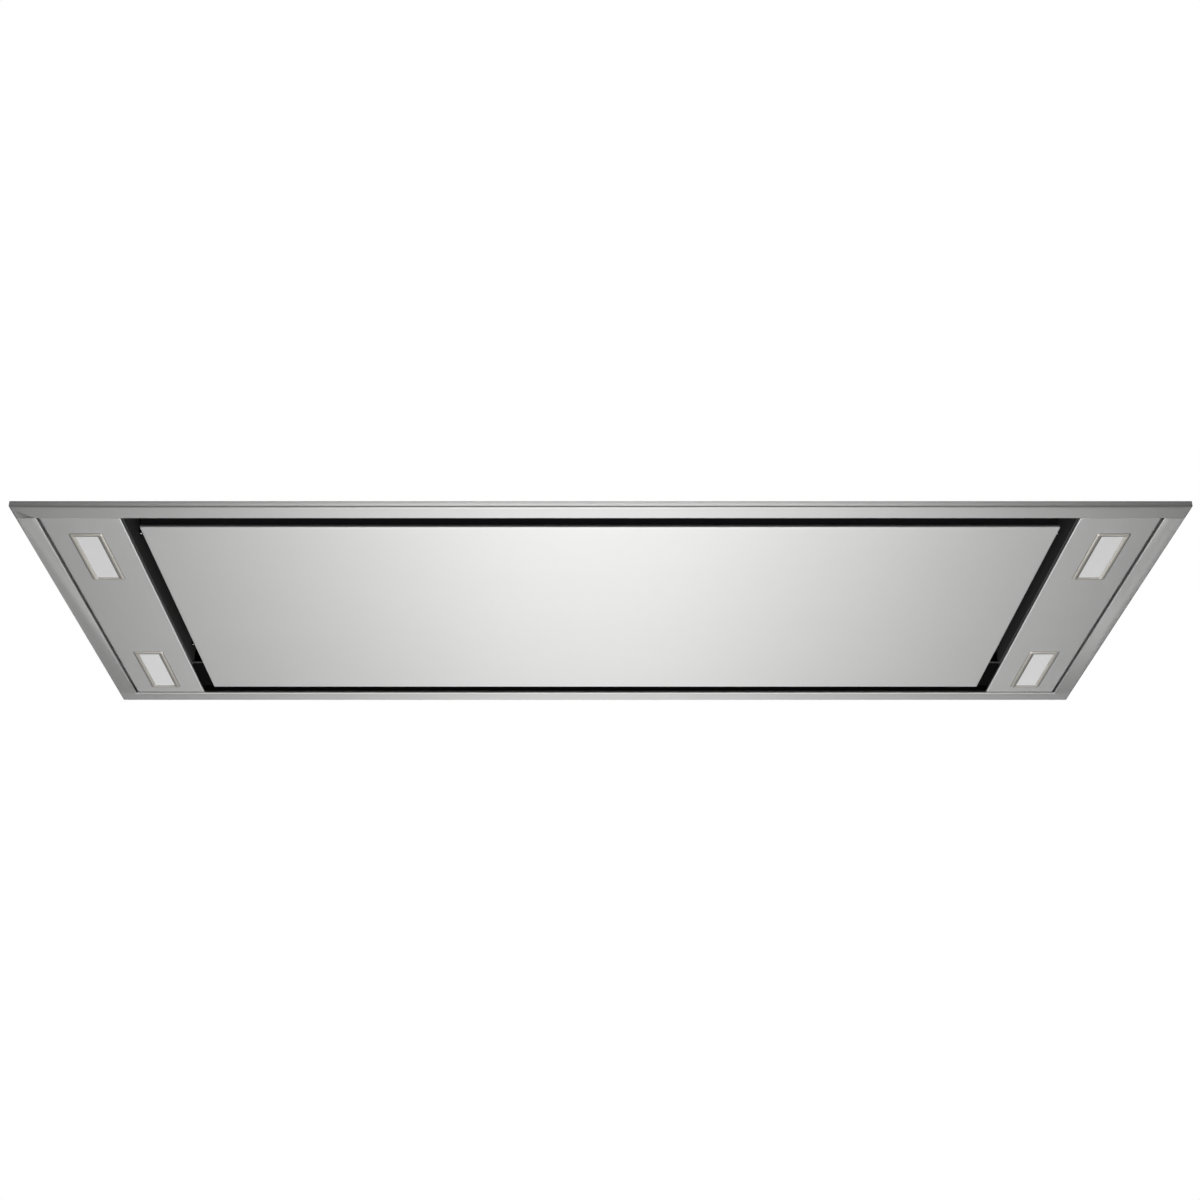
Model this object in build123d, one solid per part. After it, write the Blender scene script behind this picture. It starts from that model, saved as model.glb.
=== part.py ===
from build123d import *

import math
import os

os.makedirs("parts", exist_ok=True)

# A flush ceiling range hood. The origin is on the ceiling plane at the middle of the hood.
# +Z is up, +X is right and +Y is away from someone who stands in front and looks up.

# Driving dimensions, in mm.
TRIM_WIDTH = 1200.0
TRIM_DEPTH = 500.0
TRIM_HEIGHT = 7.5        # how far the trim stands below the ceiling
SIDE_STRIP = 21.7        # face of the trim at the left and right
END_STRIP = 23.4         # face of the trim at the near and far side
SHEET = 1.0              # stainless and galvanised sheet
RETURN_LIP = 9.0         # lip of the trim that lies against the ceiling
LIP_HEIGHT = 3.0         # height of the short turned-up edges below

LIGHT_PANEL_GAP = 2.2    # dark joint between trim and light panel, left and right
LIGHT_PANEL_END_GAP = 1.4
LIGHT_PANEL_WIDTH = 83.7
LIGHT_PANEL_RECESS = 0.8

PANEL_WIDTH = 954.0
PANEL_DEPTH = 415.6
PANEL_THICKNESS = 18.0
PANEL_BEND = 2.0         # outer radius of the panel's bent edge
PANEL_EDGE = 3.0         # height of the stainless edge
PAN_SHEET = 0.8

BEZEL_WIDTH = 36.0
BEZEL_LENGTH = 106.0
BEZEL_RIM = 1.2
LENS_WIDTH = 26.0
LENS_LENGTH = 95.0
LAMP_X = 536.7
LAMP_NEAR_Y = -140.0
LAMP_FAR_Y = 156.0

TRAY_SHEET = 1.5
TRAY_TOP = 62.0          # underside of the filter deck
BODY_TOP = 112.0
BOX_SIZE = 392.0
BOX_TOP = 300.0
DUCT_RADIUS = 74.5       # for a duct of 150 mm inner diameter
COLLAR_HEIGHT = 50.0

FILTER_WIDTH = 444.0
FILTER_DEPTH = 344.0
FILTER_THICKNESS = 9.0
FILTER_X = 240.0
LATCH_TRAVEL = 5.0

HINGE_Y = 192.0
HINGE_HEIGHT = 12.0      # from the underside to the hinge axis
HINGE_PIN_RADIUS = 3.0
RUNNING_CLEARANCE = 0.05

IMPELLER_RADIUS = 80.0
IMPELLER_WIDTH = 92.0
BLADE_COUNT = 36
SHAFT_RADIUS = 4.0

# Heights and half sizes that follow from them.
UNDERSIDE = -TRIM_HEIGHT
OPENING_X = TRIM_WIDTH / 2 - SIDE_STRIP
OPENING_Y = TRIM_DEPTH / 2 - END_STRIP
BODY_X = OPENING_X + 3.0
BODY_Y = OPENING_Y + 4.0
PLATE_Z = UNDERSIDE + LIGHT_PANEL_RECESS
PLATE_TOP = PLATE_Z + SHEET
PLATE_OUTER_X = OPENING_X - LIGHT_PANEL_GAP
PLATE_INNER_X = PLATE_OUTER_X - LIGHT_PANEL_WIDTH
PLATE_Y = OPENING_Y - LIGHT_PANEL_END_GAP
TRAY_X = PLATE_INNER_X + 0.4
TRAY_Y = OPENING_Y + 0.2
PANEL_X = PANEL_WIDTH / 2
PANEL_Y = PANEL_DEPTH / 2
PANEL_TOP = UNDERSIDE + PANEL_THICKNESS
HINGE_Z = UNDERSIDE + HINGE_HEIGHT

STANDING = (Align.CENTER, Align.CENTER, Align.MIN)
LAMPS = {
    "left_near": (-LAMP_X, LAMP_NEAR_Y),
    "left_far": (-LAMP_X, LAMP_FAR_Y),
    "right_near": (LAMP_X, LAMP_NEAR_Y),
    "right_far": (LAMP_X, LAMP_FAR_Y),
}
SIDES = {"left": -1, "right": 1}


def block(x, y, z):
    """A box between three (low, high) pairs."""
    sizes = [high - low for low, high in (x, y, z)]
    middle = [(high + low) / 2 for low, high in (x, y, z)]
    return Pos(*middle) * Box(*sizes)


def slab(half_x, half_y, z):
    """A box round the vertical axis, with its half sizes and a (low, high) height."""
    return block((-half_x, half_x), (-half_y, half_y), z)


def frame(half_x, half_y, wall, z):
    """A rectangular tube round the vertical axis, with the wall inside the half sizes."""
    return slab(half_x, half_y, z) - slab(half_x - wall, half_y - wall, z)


def on_side(side, near, far):
    """A (low, high) pair at the left (-1) or the right (+1) of the middle plane."""
    return tuple(sorted((side * near, side * far)))


def rod(radius, start, end):
    """A round bar from one point to another."""
    axis = Vector(*end) - Vector(*start)
    return Plane(origin=start, z_dir=axis).location * Cylinder(radius, axis.length, align=STANDING)


def lower_edges(shape):
    """The edges of the shape's lowest flat outline."""
    return shape.edges().group_by(Axis.Z)[0]


def save(name, *solids):
    """Writes one node: a single solid, or a group of separate ones."""
    shape = solids[0] if len(solids) == 1 else Compound(children=list(solids))
    shape.label = name
    export_step(shape, f"parts/{name}.step")


# Trim frame: a flat C of bent sheet, welded at the corners. The outer bend is round, the
# inner edge turns up, and a fine joint line runs across each side strip.
TRIM_BEND = 2.0
INNER_BEND = 1.5
JOINT_WIDTH = 0.4
JOINT_DEPTH = 0.3
RELIEF_WIDTH = 1.2
RELIEF_LENGTH = 6.0


def trim_frame():
    half_x = TRIM_WIDTH / 2
    half_y = TRIM_DEPTH / 2
    outside = slab(half_x, half_y, (UNDERSIDE, 0))
    outside = fillet(lower_edges(outside), TRIM_BEND)
    hollow = slab(half_x - SHEET, half_y - SHEET, (UNDERSIDE + SHEET, -SHEET))
    hollow = fillet(lower_edges(hollow), TRIM_BEND - SHEET)
    ceiling_side = slab(half_x - RETURN_LIP, half_y - RETURN_LIP, (-SHEET, 0))
    inner_lip = frame(
        OPENING_X + SHEET, OPENING_Y + SHEET, SHEET, (UNDERSIDE + SHEET, UNDERSIDE + LIP_HEIGHT)
    )
    shape = outside - hollow - ceiling_side + inner_lip
    shape -= slab(OPENING_X, OPENING_Y, (UNDERSIDE, UNDERSIDE + SHEET))
    inner_edges = [
        edge
        for edge in lower_edges(shape)
        if abs(edge.center().X) < OPENING_X + 0.1 and abs(edge.center().Y) < OPENING_Y + 0.1
    ]
    shape = fillet(inner_edges, INNER_BEND)
    for side in SIDES.values():
        strip = on_side(side, OPENING_X + SHEET + 1, half_x)
        joint_y = (-OPENING_Y - JOINT_WIDTH, -OPENING_Y)
        shape -= block(strip, joint_y, (UNDERSIDE, UNDERSIDE + JOINT_DEPTH))
        relief_x = on_side(side, OPENING_X + 0.6, OPENING_X + 0.6 + RELIEF_WIDTH)
        relief_y = (OPENING_Y - 1, OPENING_Y + RELIEF_LENGTH)
        shape -= block(relief_x, relief_y, (UNDERSIDE, UNDERSIDE + LIP_HEIGHT))
    return shape


# Light panels: shallow trays beside the suction panel, each cut out for two lamps. The inner
# edge is rolled up beside the slot, and the outer one is hung on the body with a flange.
NECK_WIDTH = 31.0
NECK_LENGTH = 101.0
CUTOUT_PLAY = 0.2
PLATE_UPSTAND = 6.0


def light_panel(side):
    outer = block(
        on_side(side, PLATE_INNER_X, PLATE_OUTER_X), (-PLATE_Y, PLATE_Y), (PLATE_Z, PLATE_UPSTAND)
    )
    outer = fillet(lower_edges(outer), INNER_BEND)
    hollow = block(
        on_side(side, PLATE_INNER_X + SHEET, PLATE_OUTER_X - SHEET),
        (-PLATE_Y + SHEET, PLATE_Y - SHEET),
        (PLATE_TOP, PLATE_UPSTAND),
    )
    low_side = block(
        on_side(side, PLATE_INNER_X, PLATE_INNER_X + 2 * SHEET),
        (-PLATE_Y, PLATE_Y),
        (UNDERSIDE + LIP_HEIGHT, PLATE_UPSTAND),
    )
    flange = block(
        on_side(side, PLATE_OUTER_X - SHEET, BODY_X - SHEET),
        (-PLATE_Y, PLATE_Y),
        (PLATE_UPSTAND - SHEET, PLATE_UPSTAND),
    )
    shape = outer - fillet(lower_edges(hollow), INNER_BEND - SHEET) - low_side + flange
    for x, y in LAMPS.values():
        hole = Box(NECK_WIDTH + 2 * CUTOUT_PLAY, NECK_LENGTH + 2 * CUTOUT_PLAY, 4 * SHEET)
        shape -= Pos(x, y, PLATE_Z) * hole
    return shape


# Lamps: a bezel under the panel, its neck through the cut-out, a frosted lens behind the
# opening, a board of diodes on top and a housing over it. Two clips hold each neck.
BEZEL_CORNER = 2.0
BEZEL_ROUND = 0.6
NECK_WALL = 1.3
NECK_TOP = 6.0
LENS_DEPTH = 2.6
LENS_RECESS = 0.6
BOARD_SHEET = 1.2
HOUSING_WIDTH = 37.0
HOUSING_LENGTH = 116.0
HOUSING_HEIGHT = 20.0
DIODE_ROWS = 8
DIODE_PITCH = 11.0
DIODE_X = 5.0
CLIP_HALF = 6.0
CLIP_SHEET = 0.8
CLIP_FOOT = 5.0


def lamp_bezel(x, y):
    rim_z = (PLATE_Z - BEZEL_RIM, PLATE_Z)
    rim = slab(BEZEL_WIDTH / 2, BEZEL_LENGTH / 2, rim_z)
    rim = fillet(rim.edges().filter_by(Axis.Z), BEZEL_CORNER)
    rim = fillet(lower_edges(rim), BEZEL_ROUND)
    window = slab(LENS_WIDTH / 2 + 0.2, LENS_LENGTH / 2 + 0.2, rim_z)
    neck = frame(NECK_WIDTH / 2, NECK_LENGTH / 2, NECK_WALL, (PLATE_Z, NECK_TOP))
    return Pos(x, y, 0) * (rim - window + neck)


def lamp_lens(x, y):
    face_z = PLATE_Z - BEZEL_RIM + LENS_RECESS
    window = slab(LENS_WIDTH / 2, LENS_LENGTH / 2, (face_z, PLATE_Z + LENS_DEPTH - 1))
    seat = slab(LENS_WIDTH / 2 + 1, LENS_LENGTH / 2 + 1.5, (PLATE_Z, PLATE_Z + LENS_DEPTH))
    return Pos(x, y, 0) * (window + seat)


def led_board(x, y):
    board = slab(NECK_WIDTH / 2, NECK_LENGTH / 2, (NECK_TOP, NECK_TOP + BOARD_SHEET))
    for row in range(DIODE_ROWS):
        for column in (-DIODE_X, DIODE_X):
            along = (row - (DIODE_ROWS - 1) / 2) * DIODE_PITCH
            board += Pos(column, along, NECK_TOP - 0.35) * Box(3, 3, 0.7)
    return Pos(x, y, 0) * board


def lamp_housing(x, y):
    cover_z = (PLATE_TOP, PLATE_TOP + HOUSING_HEIGHT)
    outside = slab(HOUSING_WIDTH / 2, HOUSING_LENGTH / 2, cover_z)
    outside = fillet(outside.edges().group_by(Axis.Z)[-1], 2)
    inside = slab(
        HOUSING_WIDTH / 2 - SHEET,
        HOUSING_LENGTH / 2 - SHEET,
        (PLATE_TOP, PLATE_TOP + HOUSING_HEIGHT - SHEET),
    )
    return Pos(x, y, 0) * (outside - inside)


def lamp_clips():
    clips = []
    for x, y in LAMPS.values():
        clip_x = (x - CLIP_HALF, x + CLIP_HALF)
        for end in (-1, 1):
            root = y + end * NECK_LENGTH / 2
            leg_y = sorted((root, root + end * CLIP_SHEET))
            foot_y = sorted((root, root + end * CLIP_FOOT))
            leg = block(clip_x, leg_y, (PLATE_TOP, NECK_TOP))
            foot = block(clip_x, foot_y, (PLATE_TOP, PLATE_TOP + CLIP_SHEET))
            clips.append(leg + foot)
    return clips


# Suction panel: a stainless skin with a bent edge, a black pan behind it, ribs between the
# two, an ear with a hinge hole at each side and two steel strikes for the magnets.
RIB_WIDTH = 24.0
RIB_LENGTH = 900.0
RIB_SPACING = 120.0
EAR_SHEET = 4.0
EAR_REACH = 14.0
EAR_END_CUT = 2.5
PAN_HOLE_RADIUS = 3.6
STRIKE_X = 380.0
STRIKE_HALF = 18.0
STRIKE_SHEET = 1.0
CATCH_Y = -196.0
CATCH_HALF = 9.0


def panel_skin():
    outside = slab(PANEL_X, PANEL_Y, (UNDERSIDE, UNDERSIDE + PANEL_EDGE))
    outside = fillet(outside.edges().filter_by(Axis.Z), PANEL_BEND)
    outside = fillet(lower_edges(outside), PANEL_BEND)
    inside = slab(
        PANEL_X - SHEET, PANEL_Y - SHEET, (UNDERSIDE + SHEET, UNDERSIDE + PANEL_EDGE)
    )
    inside = fillet(inside.edges().filter_by(Axis.Z), PANEL_BEND - SHEET)
    return outside - fillet(lower_edges(inside), PANEL_BEND - SHEET)


def panel_back():
    pan_x = PANEL_X - SHEET
    pan_y = PANEL_Y - SHEET
    pan = slab(pan_x, pan_y, (UNDERSIDE + PANEL_BEND, PANEL_TOP))
    pan = fillet(pan.edges().filter_by(Axis.Z), PANEL_BEND - SHEET)
    hollow = slab(
        pan_x - PAN_SHEET, pan_y - PAN_SHEET, (UNDERSIDE + PANEL_BEND, PANEL_TOP - PAN_SHEET)
    )
    pan -= fillet(hollow.edges().filter_by(Axis.Z), PANEL_BEND - SHEET - PAN_SHEET)
    for side in SIDES.values():
        pan -= rod(
            PAN_HOLE_RADIUS,
            (side * (pan_x - 3), HINGE_Y, HINGE_Z),
            (side * (pan_x + 3), HINGE_Y, HINGE_Z),
        )
    return pan


def panel_stiffeners():
    ribs = []
    for row in (-1, 0, 1):
        z = (UNDERSIDE + SHEET, PANEL_TOP - PAN_SHEET)
        middle = row * RIB_SPACING
        y = (middle - RIB_WIDTH / 2, middle + RIB_WIDTH / 2)
        inner_y = (y[0] + PAN_SHEET, y[1] - PAN_SHEET)
        inner_z = (z[0] + PAN_SHEET, z[1] - PAN_SHEET)
        length = (-RIB_LENGTH / 2, RIB_LENGTH / 2)
        ribs.append(block(length, y, z) - block(length, inner_y, inner_z))
    return ribs


def hinge_ears():
    ears = []
    outer_x = PANEL_X - SHEET - PAN_SHEET
    for side in SIDES.values():
        plate = block(
            on_side(side, outer_x - EAR_SHEET, outer_x),
            (HINGE_Y - EAR_REACH, HINGE_Y + EAR_REACH - EAR_END_CUT),
            (UNDERSIDE + PANEL_BEND, PANEL_TOP - PAN_SHEET),
        )
        hole = rod(
            HINGE_PIN_RADIUS + RUNNING_CLEARANCE,
            (side * (outer_x - 2 * EAR_SHEET), HINGE_Y, HINGE_Z),
            (side * (outer_x + EAR_SHEET), HINGE_Y, HINGE_Z),
        )
        ears.append(plate - hole)
    return ears


def panel_strikes():
    z = (PANEL_TOP, PANEL_TOP + STRIKE_SHEET)
    y = (CATCH_Y - CATCH_HALF, CATCH_Y + CATCH_HALF)
    return [
        block(on_side(side, STRIKE_X - STRIKE_HALF, STRIKE_X + STRIKE_HALF), y, z)
        for side in SIDES.values()
    ]


# Recess: four black walls round the slot, the deck that carries the filters, the hinge
# brackets, and the rails along the side walls with a notch and a screw at each end.
PIN_END = 1.0
SHOULDER_RADIUS = 3.8
BRACKET_SHEET = 2.0
BRACKET_NEAR_Y = 147.0
BRACKET_FAR_Y = 216.0
BRACKET_LOW = UNDERSIDE + 6.0
BRACKET_TOP = 40.0
BRACKET_PLAY = 1.2
RAIL_SHEET = 1.2
RAIL_TOP = UNDERSIDE + 36.6
RAIL_BOTTOM = UNDERSIDE + 4.0
RAIL_NEAR_Y = -224.0
RAIL_SCREW_Y = (-147.0, 136.5)
RAIL_SCREW_Z = UNDERSIDE + 26.5
RAIL_SHANK = 1.2
RAIL_HEAD = 1.8
NOTCH_BACK = 9.5
NOTCH_FRONT = 3.5
NOTCH_BOTTOM = UNDERSIDE + 24.0


def end_tray_wall(side):
    y = on_side(side, TRAY_Y, TRAY_Y + TRAY_SHEET)
    width = TRAY_X + TRAY_SHEET
    return block((-width, width), y, (UNDERSIDE + LIP_HEIGHT, TRAY_TOP))


def side_tray_wall(side):
    x = on_side(side, TRAY_X, TRAY_X + TRAY_SHEET)
    wall = block(x, (-TRAY_Y, TRAY_Y), (UNDERSIDE + LIP_HEIGHT, TRAY_TOP))
    for y in RAIL_SCREW_Y:
        wall -= rod(
            RAIL_SHANK, (side * (TRAY_X - 1), y, RAIL_SCREW_Z), (side * (TRAY_X + 3), y, RAIL_SCREW_Z)
        )
    return wall


def side_rail(side):
    rail = block(
        on_side(side, TRAY_X - RAIL_SHEET, TRAY_X),
        (RAIL_NEAR_Y, BRACKET_NEAR_Y - 1),
        (RAIL_BOTTOM, RAIL_TOP),
    )
    for y in RAIL_SCREW_Y:
        notch_x = on_side(side, TRAY_X - 2 * RAIL_SHEET, TRAY_X)
        rail -= block(notch_x, (y - NOTCH_BACK, y + NOTCH_FRONT), (NOTCH_BOTTOM, RAIL_TOP))
    return rail


def side_rail_screws():
    screws = []
    for side in SIDES.values():
        for y in RAIL_SCREW_Y:
            face = (side * TRAY_X, y, RAIL_SCREW_Z)
            head_end = (side * (TRAY_X - 2), y, RAIL_SCREW_Z)
            tail = (side * (TRAY_X + TRAY_SHEET + 2), y, RAIL_SCREW_Z)
            screws.append(rod(RAIL_HEAD, face, head_end) + rod(RAIL_SHANK, face, tail))
    return screws


def hinge_bracket(side):
    wall_face = TRAY_X - BRACKET_SHEET
    y = (BRACKET_NEAR_Y, BRACKET_FAR_Y)
    upright = block(on_side(side, wall_face, TRAY_X), y, (BRACKET_LOW, BRACKET_TOP))
    shelf = block(
        on_side(side, PANEL_X + BRACKET_PLAY, TRAY_X), y, (BRACKET_LOW, BRACKET_LOW + BRACKET_SHEET)
    )
    shoulder = rod(
        SHOULDER_RADIUS,
        (side * wall_face, HINGE_Y, HINGE_Z),
        (side * (PANEL_X + 0.4), HINGE_Y, HINGE_Z),
    )
    pin_tip = PANEL_X - SHEET - PAN_SHEET - EAR_SHEET - PIN_END
    pin = rod(
        HINGE_PIN_RADIUS, (side * wall_face, HINGE_Y, HINGE_Z), (side * pin_tip, HINGE_Y, HINGE_Z)
    )
    return upright + shelf + shoulder + pin


def filter_deck():
    deck_y = BODY_Y - SHEET
    deck_x = TRAY_X + TRAY_SHEET
    deck = slab(deck_x, deck_y, (TRAY_TOP, TRAY_TOP + SHEET))
    for end in (-1, 1):
        deck += block(
            (-deck_x, deck_x), on_side(end, deck_y - SHEET, deck_y), (TRAY_TOP, TRAY_TOP + 12)
        )
    for side in SIDES.values():
        opening = Box(FILTER_WIDTH - 20, FILTER_DEPTH - 20, 4 * SHEET)
        deck -= Pos(side * FILTER_X, 0, TRAY_TOP) * opening
    return deck


# Panel catches: two magnets on brackets that hang from the deck over the near edge.
CATCH_GAP = 0.3
MAGNET_HEIGHT = 7.0
MAGNET_HALF = 7.0
CATCH_WIDTH = 30.0
CATCH_SHEET = 2.0


def catch_magnets():
    low = PANEL_TOP + STRIKE_SHEET + CATCH_GAP
    x_half = CATCH_WIDTH / 2 - 1
    return [
        Pos(side * STRIKE_X, CATCH_Y, 0) * slab(x_half, MAGNET_HALF, (low, low + MAGNET_HEIGHT))
        for side in SIDES.values()
    ]


def catch_brackets():
    foot_z = PANEL_TOP + STRIKE_SHEET + CATCH_GAP + MAGNET_HEIGHT
    near_y = CATCH_Y - CATCH_HALF
    y = (near_y, CATCH_Y + CATCH_HALF)
    brackets = []
    for side in SIDES.values():
        x = on_side(side, STRIKE_X - CATCH_WIDTH / 2, STRIKE_X + CATCH_WIDTH / 2)
        foot = block(x, y, (foot_z, foot_z + CATCH_SHEET))
        leg = block(x, (near_y, near_y + CATCH_SHEET), (foot_z, TRAY_TOP))
        ear = block(x, y, (TRAY_TOP - CATCH_SHEET, TRAY_TOP))
        brackets.append(foot + leg + ear)
    return brackets


# Grease filters: a frame with a mesh behind the deck openings, a fixed tongue under the far
# edge and a sprung latch in a pad at the near edge, whose bolt enters a keeper.
FILTER_BAR = 12.0
PAD_WIDTH = 60.0
PAD_DEPTH = 18.0
BOLT_WIDTH = 20.0
BOLT_SHEET = 2.0
BOLT_LENGTH = 27.0
BOLT_PLAY = 0.3
TAB_SHEET = 3.0
TAB_BELOW = 8.0
MESH_COLUMNS = 12
MESH_ROWS = 9
MESH_HOLE = 22.0
FILTER_Z = TRAY_TOP - FILTER_THICKNESS
BOLT_Z = FILTER_Z + 4.0
BOLT_TIP_Y = -FILTER_DEPTH / 2 - LATCH_TRAVEL
TAB_Y = BOLT_TIP_Y + BOLT_LENGTH


def filter_frame(side):
    z = (FILTER_Z, TRAY_TOP)
    shape = frame(FILTER_WIDTH / 2, FILTER_DEPTH / 2, FILTER_BAR, z)
    near_bar = -FILTER_DEPTH / 2 + FILTER_BAR
    shape += block((-PAD_WIDTH / 2, PAD_WIDTH / 2), (near_bar, near_bar + PAD_DEPTH), z)
    bolt_x = (-BOLT_WIDTH / 2 - BOLT_PLAY, BOLT_WIDTH / 2 + BOLT_PLAY)
    far_end = TAB_Y + LATCH_TRAVEL + BOLT_PLAY
    shape -= block(
        bolt_x,
        (-FILTER_DEPTH / 2 - 1, far_end),
        (BOLT_Z - BOLT_PLAY, BOLT_Z + BOLT_SHEET + BOLT_PLAY),
    )
    shape -= block(bolt_x, (TAB_Y - TAB_SHEET - BOLT_PLAY, far_end), (FILTER_Z - 1, BOLT_Z))
    return Pos(side * FILTER_X, 0, 0) * shape


def filter_latch(side):
    bolt_x = (-BOLT_WIDTH / 2, BOLT_WIDTH / 2)
    bolt = block(bolt_x, (BOLT_TIP_Y, TAB_Y), (BOLT_Z, BOLT_Z + BOLT_SHEET))
    tab = block(bolt_x, (TAB_Y - TAB_SHEET, TAB_Y), (FILTER_Z - TAB_BELOW, BOLT_Z))
    return Pos(side * FILTER_X, 0, 0) * (bolt + tab)


def filter_mesh(side):
    inner_x = FILTER_WIDTH / 2 - FILTER_BAR
    inner_y = FILTER_DEPTH / 2 - FILTER_BAR
    sheet = slab(inner_x, inner_y, (FILTER_Z + 7, FILTER_Z + 8))
    pad_y = (-inner_y, -inner_y + PAD_DEPTH)
    sheet -= block((-PAD_WIDTH / 2, PAD_WIDTH / 2), pad_y, (FILTER_Z, TRAY_TOP))
    pitch_x = 2 * inner_x / MESH_COLUMNS
    pitch_y = (2 * inner_y - PAD_DEPTH) / MESH_ROWS
    holes = GridLocations(pitch_x, pitch_y, MESH_COLUMNS, MESH_ROWS)
    cutter = [
        Pos(0, PAD_DEPTH / 2, FILTER_Z + 7.5) * place * Box(MESH_HOLE, MESH_HOLE, 3)
        for place in holes
    ]
    return Pos(side * FILTER_X, 0, 0) * (sheet - cutter)


HOOK_REACH = 120.0
HOOK_WIDTH = 30.0
KEEPER_WIDTH = 40.0
KEEPER_GAP = 2.2


def filter_hangers():
    hangers = []
    edge = FILTER_DEPTH / 2
    for side in SIDES.values():
        for offset in (-HOOK_REACH, HOOK_REACH):
            middle = side * FILTER_X + offset
            x = (middle - HOOK_WIDTH / 2, middle + HOOK_WIDTH / 2)
            leg = block(x, (edge + 1, edge + 3), (FILTER_Z - 3, TRAY_TOP))
            tongue = block(x, (edge - 6, edge + 3), (FILTER_Z - 3, FILTER_Z - 1))
            hangers.append(leg + tongue)
        middle = side * FILTER_X
        keeper = block(
            (middle - KEEPER_WIDTH / 2, middle + KEEPER_WIDTH / 2),
            (-edge - KEEPER_GAP - 2, -edge - KEEPER_GAP),
            (FILTER_Z - 1, TRAY_TOP),
        )
        window = Box(BOLT_WIDTH + 2 * BOLT_PLAY, 9, BOLT_SHEET + 2 * BOLT_PLAY)
        hangers.append(keeper - Pos(middle, -edge - 3, BOLT_Z + BOLT_SHEET / 2) * window)
    return hangers


# Body above the ceiling: a galvanised shell, its top plate, and the box over the blower.
FLANGE = 13.0
BOX_FLANGE = 16.0
BOX_INNER = BOX_SIZE / 2 - SHEET
SCREW_SHANK = 2.0
SCREW_HOLE = 2.1
SCREW_HEAD = 3.6
SCREW_HEAD_HEIGHT = 2.4
SCREW_LENGTH = 7.0
COLLAR_FLANGE = 92.0
COLLAR_SCREW_RADIUS = 84.0


def screw_places():
    """The head seats of all case screws, group by group, as (x, y, z)."""
    edge_x = BODY_X - FLANGE / 2 - 0.5
    edge_y = BODY_Y - FLANGE / 2 - 0.5
    top_z = BODY_TOP + SHEET
    places = {"body": [], "box": [], "lid": [], "collar": []}
    for end in (-1, 1):
        for x in (-480, -160, 160, 480):
            places["body"].append((x, end * edge_y, top_z))
        for y in (-110, 110):
            places["body"].append((end * edge_x, y, top_z))
    flange_middle = BOX_SIZE / 2 + BOX_FLANGE / 2
    lid_middle = BOX_SIZE / 2 - FLANGE / 2
    for end in (-1, 1):
        for along in (-130, 130):
            places["box"].append((end * flange_middle, along, top_z + SHEET))
            places["box"].append((along, end * flange_middle, top_z + SHEET))
            places["lid"].append((end * lid_middle, along, BOX_TOP + SHEET))
            places["lid"].append((along, end * lid_middle, BOX_TOP + SHEET))
    for step in range(4):
        angle = math.radians(45 + 90 * step)
        x = COLLAR_SCREW_RADIUS * math.cos(angle)
        y = COLLAR_SCREW_RADIUS * math.sin(angle)
        places["collar"].append((x, y, BOX_TOP + 2 * SHEET))
    return places


SCREWS = screw_places()


def drilled(shape, *groups):
    """The shape with a hole under every screw of the named groups."""
    for group in groups:
        for x, y, z in SCREWS[group]:
            shape -= rod(SCREW_HOLE, (x, y, z - 5), (x, y, z + 1))
    return shape


def case_screws():
    screws = []
    for places in SCREWS.values():
        for x, y, z in places:
            head = Pos(x, y, z) * Cylinder(SCREW_HEAD, SCREW_HEAD_HEIGHT, align=STANDING)
            head = fillet(head.edges().group_by(Axis.Z)[-1], 1)
            screws.append(head + rod(SCREW_SHANK, (x, y, z - SCREW_LENGTH), (x, y, z)))
    return screws


def body_shell():
    shell = frame(BODY_X, BODY_Y, SHEET, (UNDERSIDE + SHEET, BODY_TOP - SHEET))
    shell += frame(BODY_X, BODY_Y, FLANGE, (BODY_TOP - SHEET, BODY_TOP))
    return drilled(shell, "body")


def body_top():
    plate = slab(BODY_X, BODY_Y, (BODY_TOP, BODY_TOP + SHEET))
    plate -= slab(BOX_INNER, BOX_INNER, (BODY_TOP, BODY_TOP + SHEET))
    return drilled(plate, "body", "box")


def motor_box():
    low = BODY_TOP + SHEET
    flange_size = BOX_SIZE / 2 + BOX_FLANGE
    walls = frame(BOX_SIZE / 2, BOX_SIZE / 2, SHEET, (low, BOX_TOP))
    walls += frame(flange_size, flange_size, BOX_FLANGE + SHEET, (low, low + SHEET))
    walls += frame(BOX_SIZE / 2, BOX_SIZE / 2, FLANGE, (BOX_TOP - SHEET, BOX_TOP))
    return drilled(walls, "box", "lid")


def motor_box_lid():
    plate = slab(BOX_SIZE / 2, BOX_SIZE / 2, (BOX_TOP, BOX_TOP + SHEET))
    plate -= Pos(0, 0, BOX_TOP) * Cylinder(DUCT_RADIUS - SHEET, 4 * SHEET)
    return drilled(plate, "lid", "collar")


# Duct outlet: a round collar with a ledge inside, and two half flaps on one spindle that
# the air lifts and that fall shut.
COLLAR_BASE = BOX_TOP + SHEET
FLAP_Z = COLLAR_BASE + 16.0
FLAP_RADIUS = 72.6
FLAP_SHEET = 1.0
LEDGE = 4.5
SPINDLE_RADIUS = 1.5
KNUCKLE_RADIUS = 3.0
KNUCKLE_LENGTH = 18.0
FLAP_START = 3.5
FRONT_KNUCKLES = (-52.0, 14.0)
REAR_KNUCKLES = (-32.0, 34.0)


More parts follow.
